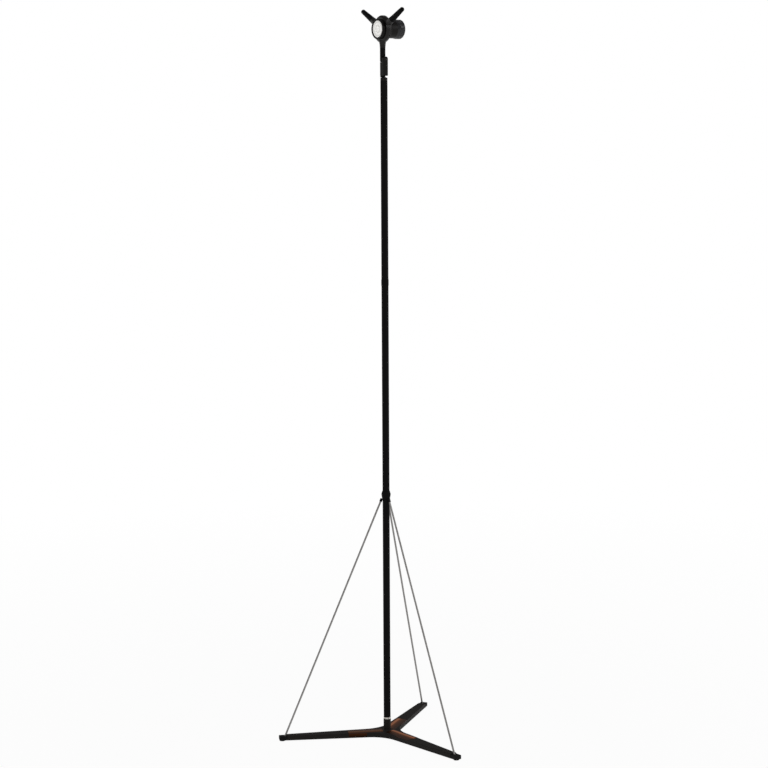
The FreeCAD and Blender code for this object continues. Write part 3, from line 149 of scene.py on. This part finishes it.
def choose(piece: bpy.types.Object, pick: Pick, test: Callable[[Vector], bool]) -> int:
    """Select a piece's corners or edges by where their middle lies, and enter edit mode.

    Args:
        piece: the object.
        pick: corners or edges.
        test: whether the one at this middle is chosen.
    Returns:
        How many are chosen.
    """
    take_up(piece)
    mesh = piece.data
    for items in (mesh.vertices, mesh.edges, mesh.polygons):
        items.foreach_set("select", [False] * len(items))
    chosen = 0
    for item in mesh.vertices if pick is Pick.CORNERS else mesh.edges:
        ends = (item,) if pick is Pick.CORNERS else [mesh.vertices[end] for end in item.vertices]
        middle = sum((end.co for end in ends), Vector()) / len(ends)
        item.select = test(middle)
        chosen += item.select
    bpy.ops.object.mode_set(mode="EDIT")
    bpy.ops.mesh.select_mode(type=pick.value)
    return chosen


def lathe(name: str, profile: Sequence[Tuple[float, float]], facets: int) -> bpy.types.Object:
    """Spin a profile about Z by the edit-mode spin operator.

    Args:
        name: the new object's name.
        profile: (radius, height) corners in metres, in order; one that starts and ends on the
            axis is left open there, so that its poles close.
        facets: how many facets go round.
    Returns:
        The new object.
    """
    deselect()
    # the circle only gives a closed chain: each of its corners then moves to the profile
    bpy.ops.mesh.primitive_circle_add(vertices=len(profile), radius=10 * MM, location=(0, 0, 0))
    piece = bpy.context.object
    piece.name = name
    for vertex, (radius, height) in zip(piece.data.vertices, profile):
        vertex.co = Vector((radius, 0.0, height))
    if choose(piece, Pick.EDGES, lambda place: place.x < ON_AXIS):
        bpy.ops.mesh.delete(type="EDGE_FACE")
    choose(piece, Pick.CORNERS, lambda place: True)
    bpy.ops.mesh.spin(steps=facets, angle=2 * math.pi, center=(0, 0, 0), axis=(0, 0, 1),
                      dupli=False)
    bpy.ops.object.mode_set(mode="OBJECT")
    return piece


def finish_mesh(piece: bpy.types.Object, place: Matrix, crease: float) -> None:
    """Put a mesh in its place, weld its doubles, turn its faces outwards and shade it by angle.

    Args:
        piece: the object, which ends at the origin, unturned and unscaled.
        place: where the mesh goes.
        crease: edges sharper than this many degrees stay sharp.
    """
    piece.data.transform(place)
    piece.matrix_world = Matrix.Identity(4)
    take_up(piece)
    bpy.ops.object.transform_apply(location=True, rotation=True, scale=True)
    bpy.ops.object.mode_set(mode="EDIT")
    bpy.ops.mesh.select_all(action="SELECT")
    bpy.ops.mesh.remove_doubles(threshold=WELD)
    bpy.ops.mesh.normals_make_consistent(inside=False)
    bpy.ops.object.mode_set(mode="OBJECT")
    bpy.ops.object.shade_smooth_by_angle(angle=math.radians(crease))


def dress(piece: bpy.types.Object, material: bpy.types.Material) -> None:
    """Give a piece one material.

    Args:
        piece: the object.
        material: the material.
    """
    piece.data.materials.clear()
    piece.data.materials.append(material)


# ------------------------------------------------------------------ finishes

class Grain(Enum):
    """Which way the fine lines of a metal run, as the pattern's stretch along X, Y and Z."""

    NONE = (1.0, 1.0, 1.0)
    ALONG_Z = (1.0, 1.0, 0.02)


class RidgeHighlight(Enum):
    """How strong the painted highlight on a copper bar is, as the colours of its ridge (painted
    highlight) and of its flank (painted reflection).
    """

    # a strong painted highlight, and a faint one
    BRIGHT = ("#de9062", "#8c4e26")
    FAINT = ("#8a5529", "#6c3f20")


@dataclass(frozen=True)
class Finish:
    """What every finish shares: a name, and nodes that read Object coordinates."""

    name: str

    def build(self) -> bpy.types.Material:
        """Make the material.

        Returns:
            The material, its shader wired to its output.
        """
        material = bpy.data.materials.new(self.name)
        material.use_nodes = True
        tree = material.node_tree
        tree.nodes.clear()
        place = add_node(tree, "ShaderNodeTexCoord")
        shader = self.surface(tree, place.outputs["Object"])
        add_node(tree, "ShaderNodeOutputMaterial", {}, {"Surface": shader.outputs["BSDF"]})
        return material

    def surface(self, tree: bpy.types.NodeTree, place: bpy.types.NodeSocket) -> bpy.types.Node:
        """Add the finish's nodes.

        Args:
            tree: the material's nodes.
            place: the coordinates that the patterns read.
        Returns:
            The shader node.
        """
        raise NotImplementedError


@dataclass(frozen=True)
class PaintedFinish(Finish):
    """Powder coat, moulded plastic or rubber: an even skin, a little cloudy, with a fine peel."""

    colour: str
    lighter: str
    roughness: float = 0.42
    peel_mm: float = 1.6
    bump: float = 0.08
    shine: float = 0.2
    cloud_mm: float = 45.0
    peel_depth_mm: float = 0.05
    smoother: float = 0.06
    rougher: float = 0.08

    def surface(self, tree: bpy.types.NodeTree, place: bpy.types.NodeSocket) -> bpy.types.Node:
        """Add the finish's nodes.

        Args:
            tree: the material's nodes.
            place: the coordinates that the patterns read.
        Returns:
            The shader node.
        """
        # broad clouds, from handling and uneven spraying
        clouds = add_node(tree, "ShaderNodeTexNoise",
                          {"Scale": 1 / (self.cloud_mm * MM), "Detail": 4.0}, {"Vector": place})
        # the orange-peel of a powder coat, or the grain of a mould
        peel = add_node(tree, "ShaderNodeTexNoise",
                        {"Scale": 1 / (self.peel_mm * MM), "Detail": 2.0}, {"Vector": place})
        tint = add_node(tree, "ShaderNodeMix",
                        {"data_type": "RGBA", MIX_FIRST: linear(self.colour),
                         MIX_SECOND: linear(self.lighter)},
                        {MIX_SHARE: clouds.outputs["Fac"]})
        rough = add_node(tree, "ShaderNodeMapRange",
                         {"To Min": self.roughness - self.smoother,
                          "To Max": self.roughness + self.rougher},
                         {"Value": clouds.outputs["Fac"]})
        bump = add_node(tree, "ShaderNodeBump",
                        {"Strength": self.bump, "Distance": self.peel_depth_mm * MM},
                        {"Height": peel.outputs["Fac"]})
        return add_node(tree, "ShaderNodeBsdfPrincipled", {"Specular IOR Level": self.shine},
                        {"Base Color": tint.outputs[MIX_RESULT],
                         "Roughness": rough.outputs["Result"], "Normal": bump.outputs["Normal"]})


@dataclass(frozen=True)
class FineLines:
    """The fine lines that drawing, turning or brushing leaves in a metal.

    Real ones are about 0.1 mm apart, too fine to show, so they are drawn three to five times as
    coarse.
    """

    line_mm: float = 0.4
    roughness: float = 0.3
    bump: float = 0.1
    depth_mm: float = 0.02
    smoother: float = 0.08
    rougher: float = 0.12

    def surface(self, tree: bpy.types.NodeTree, place: bpy.types.NodeSocket,
                tint: bpy.types.NodeSocket) -> bpy.types.Node:
        """Add the lines and a bare metal shader that shows them in its gloss and relief.

        Args:
            tree: the material's nodes.
            place: the coordinates that the lines read.
            tint: the metal's colour.
        Returns:
            The shader node.
        """
        lines = add_node(tree, "ShaderNodeTexNoise",
                         {"Scale": 1 / (self.line_mm * MM), "Detail": 3.0}, {"Vector": place})
        rough = add_node(tree, "ShaderNodeMapRange",
                         {"To Min": self.roughness - self.smoother,
                          "To Max": self.roughness + self.rougher},
                         {"Value": lines.outputs["Fac"]})
        bump = add_node(tree, "ShaderNodeBump",
                        {"Strength": self.bump, "Distance": self.depth_mm * MM},
                        {"Height": lines.outputs["Fac"]})
        return add_node(tree, "ShaderNodeBsdfPrincipled", {"Metallic": 1.0},
                        {"Base Color": tint, "Roughness": rough.outputs["Result"],
                         "Normal": bump.outputs["Normal"]})


@dataclass(frozen=True)
class MetalFinish(Finish):
    """Bare or plated metal with fine drawn or brushed lines and duller patches."""

    colour: str
    darker: str
    lines: FineLines
    grain: Grain = Grain.ALONG_Z
    patch_mm: float = 18.0

    def surface(self, tree: bpy.types.NodeTree, place: bpy.types.NodeSocket) -> bpy.types.Node:
        """Add the finish's nodes.

        Args:
            tree: the material's nodes.
            place: the coordinates that the patterns read.
        Returns:
            The shader node.
        """
        mapping = add_node(tree, "ShaderNodeMapping", {"Scale": self.grain.value},
                           {"Vector": place})
        stretched = mapping.outputs["Vector"]
        patches = add_node(tree, "ShaderNodeTexNoise",
                           {"Scale": 1 / (self.patch_mm * MM), "Detail": 3.0},
                           {"Vector": stretched})
        tint = add_node(tree, "ShaderNodeMix",
                        {"data_type": "RGBA", MIX_FIRST: linear(self.colour),
                         MIX_SECOND: linear(self.darker)},
                        {MIX_SHARE: patches.outputs["Fac"]})
        return self.lines.surface(tree, stretched, tint.outputs[MIX_RESULT])


@dataclass(frozen=True)
class BarFinish(Finish):
    """Copper bar over a leg: copper in colour, painted lighter along its ridge as a highlight,
    painted darker on its flanks as reflection and shade, and darker still down to its foot as painted
    shade.
    """

    turn: float
    # how strong the painted highlight along the ridge is
    highlight_strength: RidgeHighlight = RidgeHighlight.BRIGHT
    lines: FineLines = FineLines(line_mm=0.5, roughness=0.45)
    # painted shade on the bar's sides, darkest at its foot
    foot_shade: str = "#1b110c"
    foot_mm: float = 4.0
    brow_mm: float = 13.5
    half_width_mm: float = 20.0
    waver_mm: float = 1.5
    waver_length_mm: float = 30.0

    def surface(self, tree: bpy.types.NodeTree, place: bpy.types.NodeSocket) -> bpy.types.Node:
        """Add the finish's nodes.

        Args:
            tree: the material's nodes.
            place: the coordinates that the patterns read.
        Returns:
            The shader node.
        """
        # the leg's own directions: X along it, Y across it
        mapping = add_node(tree, "ShaderNodeMapping",
                           {"Rotation": (0.0, 0.0, -math.radians(self.turn))}, {"Vector": place})
        along = mapping.outputs["Vector"]
        spot = add_node(tree, "ShaderNodeSeparateXYZ", {}, {"Vector": along})
        # the painted highlight and reflection bands are not quite straight
        waver = add_node(tree, "ShaderNodeTexNoise",
                         {"Scale": 1 / (self.waver_length_mm * MM), "Detail": 3.0},
                         {"Vector": along})
        shift = add_node(tree, "ShaderNodeMapRange",
                         {"To Min": -self.waver_mm * MM, "To Max": self.waver_mm * MM},
                         {"Value": waver.outputs["Fac"]})
        across = add_node(tree, "ShaderNodeMath", {"operation": "ADD"},
                          {0: spot.outputs["Y"], 1: shift.outputs["Result"]})
        share = add_node(tree, "ShaderNodeMapRange",
                         {"From Min": -self.half_width_mm * MM,
                          "From Max": self.half_width_mm * MM},
                         {"Value": across.outputs["Value"]})
        ramp = add_node(tree, "ShaderNodeValToRGB", {}, {"Fac": share.outputs["Result"]})
        self.lay_bands(ramp.color_ramp)
        # and painted shade: darker from its brow down to its foot
        height = add_node(tree, "ShaderNodeMapRange",
                          {"From Min": self.foot_mm * MM, "From Max": self.brow_mm * MM},
                          {"Value": spot.outputs["Z"]})
        tint = add_node(tree, "ShaderNodeMix",
                        {"data_type": "RGBA", MIX_FIRST: linear(self.foot_shade)},
                        {MIX_SECOND: ramp.outputs["Color"], MIX_SHARE: height.outputs["Result"]})
        return self.lines.surface(tree, along, tint.outputs[MIX_RESULT])

    def lay_bands(self, ramp: bpy.types.ColorRamp) -> None:
        """Fill a ramp with the colours across the bar, each so many millimetres from its middle.

        Args:
            ramp: the ramp, whose two ends are the bar's two sides.
        """
        ridge, flank = self.highlight_strength.value
        # the copper's colour with painted light in it: a painted highlight along the ridge, and
        # painted reflection and shade darkening towards both sides
        bands = ((-18.0, "#45271a"), (-8.0, "#5c331b"), (1.0, flank), (3.5, ridge),
                 (10.5, ridge), (12.5, "#5c2e1a"), (18.0, "#3e2212"))
        stops = ramp.elements
        while len(stops) < len(bands):
            stops.new(0.5)
        for stop, (reach, code) in zip(stops, bands):
            stop.position = (reach + self.half_width_mm) / (2 * self.half_width_mm)
            stop.color = linear(code)


@dataclass(frozen=True)
class LensFinish(Finish):
    """Frosted pressed glass: milky white, with faint grey rings where the prisms bend the light, and
    a painted glow that makes it brighter than the lamps light it.
    """

    colour: str
    shade: str
    ring_mm: float
    centre: Place
    roughness: float = 0.3
    glass_ior: float = 1.5
    # painted glow: the glass gives off a little light, though nothing in the lamp is lit
    painted_glow: float = 0.28
    ring_depth_mm: float = 0.3
    ring_bump: float = 0.35
    shade_share: float = 0.45

    def surface(self, tree: bpy.types.NodeTree, place: bpy.types.NodeSocket) -> bpy.types.Node:
        """Add the finish's nodes.

        Args:
            tree: the material's nodes.
            place: the coordinates that the patterns read.
        Returns:
            The shader node.
        """
        mapping = add_node(tree, "ShaderNodeMapping",
                           {"Location": tuple(-step for step in self.centre)}, {"Vector": place})
        rings = add_node(tree, "ShaderNodeTexWave",
                         {"wave_type": "RINGS", "rings_direction": "Y", "wave_profile": "SIN",
                          "Scale": 2 * math.pi / (WAVE_RADIANS * self.ring_mm * MM),
                          "Distortion": 0.5, "Detail": 2.0, "Detail Scale": 1.5},
                         {"Vector": mapping.outputs["Vector"]})
        ramp = add_node(tree, "ShaderNodeValToRGB", {}, {"Fac": rings.outputs["Fac"]})
        dark, bright = ramp.color_ramp.elements
        dark.position = 0.0
        dark.color = linear(self.shade)
        bright.position = self.shade_share
        bright.color = linear(self.colour)
        bump = add_node(tree, "ShaderNodeBump",
                        {"Strength": self.ring_bump, "Distance": self.ring_depth_mm * MM},
                        {"Height": rings.outputs["Fac"]})
        # the emission is a painted glow in the glass's own colour
        return add_node(tree, "ShaderNodeBsdfPrincipled",
                        {"Roughness": self.roughness, "IOR": self.glass_ior,
                         "Emission Strength": self.painted_glow},
                        {"Base Color": ramp.outputs["Color"],
                         "Emission Color": ramp.outputs["Color"],
                         "Normal": bump.outputs["Normal"]})


# satin black powder coat on steel tube: near-black and even, with hardly any highlight
POLE_COAT = PaintedFinish("satin_black_powder_coat", "#151515", "#1c1b1b", roughness=0.5,
                          shine=0.02)
# textured powder coat on the steel legs: rougher than the pole's, lighter and a little warmer
LEG_COAT = PaintedFinish("textured_black_powder_coat", "#1a1816", "#292624", roughness=0.6,
                         peel_mm=1.2, bump=0.25, shine=0.1)
# thin coat on the head's die-cast aluminium: brownish black with a dull shine
HEAD_COAT = PaintedFinish("black_coat_on_die_casting", "#0b0908", "#14110f", roughness=0.42,
                          shine=0.12)
# coat on the finned aluminium: glossier, so its flutes catch the light, and dark grey, partly its own
# colour and partly a painted highlight that makes it lighter than the head's coat
SINK_COAT = PaintedFinish("grey_coat_and_painted_highlight_on_heat_sink", "#1c1c1e", "#28282b", roughness=0.35,
                          shine=0.3)
# thick coat on the cast yoke: smoother and glossier than the pole's
YOKE_COAT = PaintedFinish("satin_coat_on_yoke", "#0f0d0c", "#1a1715", roughness=0.38, shine=0.25)
# coat on the swivel's knuckle: a neutral black that takes a little more light than the pole's
KNUCKLE_COAT = PaintedFinish("grey_black_coat_on_knuckle", "#0b0b0a", "#12120f", roughness=0.45,
                             shine=0.08)
# coat on the handles, the darkest pieces: deep black, nearly matt
DEEP_COAT = PaintedFinish("deep_black_coat", "#060606", "#0b0b0a", roughness=0.5, shine=0.05)
# moulded black nylon: flat black with a faint sheen
BLACK_NYLON = PaintedFinish("moulded_black_nylon", "#0d0d0d", "#141414", roughness=0.6,
                            peel_mm=0.8, shine=0.1)
# rubber pads: dead black
RUBBER = PaintedFinish("black_rubber", "#101010", "#181818", roughness=0.85, peel_mm=0.6,
                       bump=0.3)
# nickel-plated ring and screws: bright, slightly brushed
NICKEL = MetalFinish("brushed_nickel_plate", "#c9c7c2", "#a9a6a0", FineLines(roughness=0.28))
# drawn stainless rod: mid grey, satin
STAY_STEEL = MetalFinish("drawn_stainless_rod", "#a2a09e", "#8e8c8a",
                         FineLines(line_mm=0.3, roughness=0.5))
# blackened steel pins: dark with a dull shine
BLACKED_STEEL = MetalFinish("blackened_steel", "#2c2b2a", "#1d1c1c", FineLines(roughness=0.4))
# spun aluminium reflector: bright, nearly a mirror
REFLECTOR = MetalFinish("bright_spun_aluminium", "#dedede", "#c8c8c8", FineLines(roughness=0.15),
                        grain=Grain.NONE)
# white solder mask of the light board: flat and creamy
BOARD = PaintedFinish("white_light_board", "#dcd8c8", "#e6e2d4", roughness=0.5)
# silicone film that carries the heat: grey and dull
FILM = PaintedFinish("grey_silicone_film", "#7c7e82", "#8a8c90", roughness=0.7)


# ------------------------------------------------------------------ sub-assemblies

@dataclass
class Workshop:
    """The frame's pieces, and the finishes that are ready to use."""

    nodes: Dict[str, bpy.types.Object]
    made: Dict[str, bpy.types.Material] = field(default_factory=dict)

    def material(self, finish: Finish) -> bpy.types.Material:
        """Give the material of a finish, made once.

        Args:
            finish: the finish.
        Returns:
            Its material.
        """
        if finish.name not in self.made:
            self.made[finish.name] = finish.build()
        return self.made[finish.name]

    def coat(self, names: Iterable[str], finish: Finish) -> None:
        """Give carried-over nodes a finish.

        Args:
            names: the nodes.
            finish: the finish.
        """
        for name in names:
            dress(self.nodes[name], self.material(finish))
            LOG.info("dressed %s in %s", name, finish.name)


@dataclass
class Base:
    """The three-legged base with its copper bars, caps and pads."""

    shop: Workshop
    legs: Tuple[str, ...] = ("right", "rear", "front")
    first_turn: float = 3.0

    def build(self) -> None:
        """Dress every piece of the base."""
        self.shop.coat(["hub_casting"], LEG_COAT)
        self.shop.coat(["leg_" + leg for leg in self.legs], LEG_COAT)
        for index, leg in enumerate(self.legs):
            turn = self.first_turn + index * 360.0 / len(self.legs)
            # the copper bars carry a painted highlight along the ridge, and the front one's painted
            # highlight is fainter
            highlight_strength = RidgeHighlight.FAINT if leg == "front" else RidgeHighlight.BRIGHT
            self.shop.coat(["accent_" + leg], BarFinish("copper_with_painted_highlight_" + leg, turn, highlight_strength))
        self.shop.coat(["tip_" + leg for leg in self.legs], BLACK_NYLON)
        self.shop.coat(["foot_" + leg for leg in self.legs] + ["hub_pad"], RUBBER)
        self.shop.coat(["leg_screws", "threaded_pipe", "pipe_nut", "stay_nipples"], NICKEL)
        self.shop.coat(["cord_gland"], BLACK_NYLON)


@dataclass
class Pole:
    """The three tubes, their joints, the collar and the stays."""

    shop: Workshop

    def build(self) -> None:
        """Dress every piece of the pole."""
        self.shop.coat(["lower_tube", "middle_tube", "upper_tube", "joint_sleeve", "stay_collar"],
                       POLE_COAT)
        self.shop.coat(["pole_ring"], NICKEL)
        self.shop.coat(["pole_plug", "lower_joint", "upper_joint", "top_bush"], BLACKED_STEEL)
        self.shop.coat(["stay_right", "stay_rear", "stay_front"], STAY_STEEL)
        self.shop.coat(["pole_lead", "pan_washer"], BLACK_NYLON)


@dataclass
class Swivel:
    """The knuckle that pans on the pole and carries the tilt pin."""

    shop: Workshop

    def build(self) -> None:
        """Dress every piece of the swivel."""
        self.shop.coat(["knuckle"], KNUCKLE_COAT)
        self.shop.coat(["tilt_pin", "tilt_nut"], BLACKED_STEEL)
        self.shop.coat(["pan_nut"], NICKEL)
        self.shop.coat(["tilt_washer"], BLACK_NYLON)


@dataclass
class Head:
    """The lamp head: stem, yoke, handles, barrel, bezel, lens and heat sink.

    The lens is pressed glass. Its sizes are the lamp's axis, the plane its mesh is drawn from, and
    the ring prisms on its face. The rings of its finish are wider than the prisms, because those
    are too fine to show at the photo's size.
    """

    shop: Workshop
    axis_x: float = -5.0 * MM
    front_y: float = -18.0 * MM
    axis_z: float = 1929.8 * MM
    prism_pitch: float = 3.2 * MM
    prism_depth: float = 0.45 * MM
    prism_slope: float = 0.75
    plain_rim: float = 2.0 * MM
    chamfer: float = 0.3 * MM
    lens_facets: int = 96
    lens_crease: float = 20.0
    ring_mm: float = 9.0

    def build(self) -> None:
        """Dress every piece of the head."""
        self.shop.coat(["stem"], POLE_COAT)
        self.shop.coat(["yoke"], YOKE_COAT)
        self.shop.coat(["handle_right", "handle_left"], DEEP_COAT)
        self.shop.coat(["barrel", "bezel", "rear_cap"], HEAD_COAT)
        self.shop.coat(["heat_sink"], SINK_COAT)
        self.shop.coat(["yoke_screws", "rear_screws"], BLACKED_STEEL)
        self.shop.coat(["reflector"], REFLECTOR)
        self.shop.coat(["light_board"], BOARD)
        self.shop.coat(["heat_pad"], FILM)
        self.shop.coat(["head_lead"], BLACK_NYLON)
        self.lens()

    def in_place(self) -> Matrix:
        """Return the matrix that lays a piece spun about Z along the lamp's axis, front first."""
        spot = Matrix.Translation(Vector((self.axis_x, self.front_y, self.axis_z)))
        return spot @ Matrix.Rotation(math.radians(-90.0), 4, "X")

    def lens_profile(self, low: Vector, high: Vector) -> Sequence[Tuple[float, float]]:
        """Draw half the lens's section, from the middle of its back to the middle of its face.

        Args:
            low: the lower corner of the plain disc's box.
            high: the upper corner.
        Returns:
            (radius, height) corners, the height along the lamp's axis.
        """
        radius = (high.x - low.x) / 2
        front = low.y - self.front_y
        rear = high.y - self.front_y
        profile = [(0.0, rear), (radius, rear), (radius, front + self.chamfer),
                   (radius - self.chamfer, front)]
        reach = radius - self.plain_rim
        while reach > self.prism_pitch:
            profile.append((reach, front))
            profile.append((reach - self.prism_pitch * self.prism_slope,
                            front + self.prism_depth))
            reach -= self.prism_pitch
        profile.append((0.0, front))
        return profile

    def lens(self) -> None:
        """Press the lens: a disc with low ring prisms on its face, in place of the plain disc."""
        low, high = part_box("lens")
        glass = lathe("ring_prism_lens", self.lens_profile(low, high), self.lens_facets)
        finish_mesh(glass, self.in_place(), self.lens_crease)
        finish = LensFinish("frosted_pressed_glass", "#f7f6f3", "#d8d6d2", self.ring_mm,
                            (self.axis_x, self.front_y, self.axis_z))
        dress(glass, self.shop.material(finish))
        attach(glass, "head")
        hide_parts("lens")
        LOG.info("made %s", glass.name)


# ------------------------------------------------------------------ studio

@dataclass(frozen=True)
class SoftLight:
    """A soft square studio light: where it hangs, its side in metres and its power in watts."""

    name: str
    spot: Place
    side: float
    power: float


@dataclass
class Studio:
    """Floor, surroundings, lights and camera.

    The camera's pitch is downwards and its roll is how far the picture leans, both in degrees. It
    stands a little aside of the line to the pole. Its focal length is in pixels of the picture.
    """

    lights: Tuple[SoftLight, ...] = (
        SoftLight("key_light", (3.2, -4.2, 4.2), 2.6, 85.0),
        SoftLight("fill_light", (-3.5, -2.5, 2.6), 3.0, 30.0),
        SoftLight("side_light", (2.6, 3.9, 3.2), 2.4, 95.0))
    lit_point: Place = (0.0, 0.0, 1.0)
    sky_light: float = 0.25
    floor_side: float = 40.0
    floor_colour: str = "#e8e8e8"
    sweep_start: float = 0.6
    sweep_end: float = 3.5
    near_white: float = 0.95
    camera_spot: Place = (4.6114, -3.3504, 1.731)
    pitch: float = 7.50
    roll: float = -0.3
    aside: float = 0.004
    focal_px: float = 2122.0
    image_px: float = 768.0
    sensor_mm: float = 36.0
    far_clip: float = 100.0

    def floor(self) -> None:
        """Lay a plain pale floor that looks white to the camera and keeps the lamp's shadow."""
        deselect()
        bpy.ops.mesh.primitive_plane_add(size=self.floor_side, location=(0, 0, 0))
        floor = bpy.context.object
        floor.name = "floor"
        dress(floor, self.floor_material())

    def floor_material(self) -> bpy.types.Material:
        """Make the floor's matt pale paint, which runs out into white away from the lamp.

        Returns:
            The material.
        """
        material = bpy.data.materials.new("plain_pale_floor")
        material.use_nodes = True
        tree = material.node_tree
        tree.nodes.clear()
        path = add_node(tree, "ShaderNodeLightPath")
        matt = add_node(tree, "ShaderNodeBsdfDiffuse", {"Color": linear(self.floor_colour)})
        white = add_node(tree, "ShaderNodeEmission", {"Color": WHITE, "Strength": 1.0})
        seen = add_node(tree, "ShaderNodeMath", {"operation": "MAXIMUM"},
                        {0: path.outputs["Is Camera Ray"], 1: path.outputs["Is Glossy Ray"]})
        # near the lamp the paint's shadow shows through the white, and further out no edge shows
        place = add_node(tree, "ShaderNodeTexCoord")
        reach = add_node(tree, "ShaderNodeVectorMath", {"operation": "LENGTH"},
                         {0: place.outputs["Object"]})
        white_share = add_node(tree, "ShaderNodeMapRange",
                               {"From Min": self.sweep_start, "From Max": self.sweep_end,
                                "To Min": self.near_white, "To Max": 1.0},
                               {"Value": reach.outputs["Value"]})
        share = add_node(tree, "ShaderNodeMath", {"operation": "MULTIPLY"},
                         {0: seen.outputs["Value"], 1: white_share.outputs["Result"]})
        both = add_node(tree, "ShaderNodeMixShader", {},
                        {"Fac": share.outputs["Value"], LOWER_SHADER: matt.outputs["BSDF"],
                         UPPER_SHADER: white.outputs["Emission"]})
        add_node(tree, "ShaderNodeOutputMaterial", {}, {"Surface": both.outputs["Shader"]})
        return material

    def sky(self) -> None:
        """Surround the lamp with an even pale studio that is white to the camera."""
        world = bpy.data.worlds.new("studio")
        bpy.context.scene.world = world
        world.use_nodes = True
        tree = world.node_tree
        tree.nodes.clear()
        path = add_node(tree, "ShaderNodeLightPath")
        light = add_node(tree, "ShaderNodeBackground",
                         {"Color": WHITE, "Strength": self.sky_light})
        white = add_node(tree, "ShaderNodeBackground", {"Color": WHITE, "Strength": 1.0})
        both = add_node(tree, "ShaderNodeMixShader", {},
                        {"Fac": path.outputs["Is Camera Ray"],
                         LOWER_SHADER: light.outputs["Background"],
                         UPPER_SHADER: white.outputs["Background"]})
        add_node(tree, "ShaderNodeOutputWorld", {}, {"Surface": both.outputs["Shader"]})

    def hang(self, light: SoftLight) -> None:
        """Hang a soft light that looks at the lamp's middle.

        Args:
            light: which light, and where.
        """
        data = bpy.data.lights.new(light.name, "AREA")
        data.energy = light.power
        data.size = light.side
        lamp = bpy.data.objects.new(light.name, data)
        bpy.context.scene.collection.objects.link(lamp)
        lamp.location = light.spot
        aim = Vector(self.lit_point) - Vector(light.spot)
        lamp.rotation_euler = aim.to_track_quat("-Z", "Y").to_euler()

    def camera(self) -> None:
        """Stand the camera where the lamp was seen from."""
        data = bpy.data.cameras.new("camera")
        data.sensor_fit = "HORIZONTAL"
        data.sensor_width = self.sensor_mm
        data.lens = self.sensor_mm * self.focal_px / self.image_px
        data.clip_end = self.far_clip
        camera = bpy.data.objects.new("camera", data)
        bpy.context.scene.collection.objects.link(camera)
        spot = Vector(self.camera_spot)
        level = Vector((-spot.x, -spot.y, 0.0)).normalized()
        right = Vector((level.y, -level.x, 0.0))
        tilt = math.radians(self.pitch)
        ahead = level * math.cos(tilt) - Vector((0, 0, 1)) * math.sin(tilt)
        up = right.cross(ahead)
        lean = math.radians(self.roll)
        side = right * math.cos(lean) + up * math.sin(lean)
        top = side.cross(ahead)
        stand = Matrix((side, top, -ahead)).transposed().to_4x4()
        stand.translation = spot - right * self.aside
        camera.matrix_world = stand
        bpy.context.scene.camera = camera

    def build(self) -> None:
        """Set up floor, surroundings, lights and camera."""
        bpy.context.scene.view_settings.view_transform = "Standard"
        self.floor()
        self.sky()
        for light in self.lights:
            self.hang(light)
        self.camera()


def main() -> None:
    """Build every sub-assembly around the frame and set the stage."""
    logging.basicConfig(level=logging.INFO, format="%(message)s")
    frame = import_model()
    shop = Workshop(frame["nodes"])
    for part in (Base(shop), Pole(shop), Swivel(shop), Head(shop), Studio()):
        part.build()
        LOG.info("built %s", type(part).__name__)


if __name__ == "__main__":
    main()
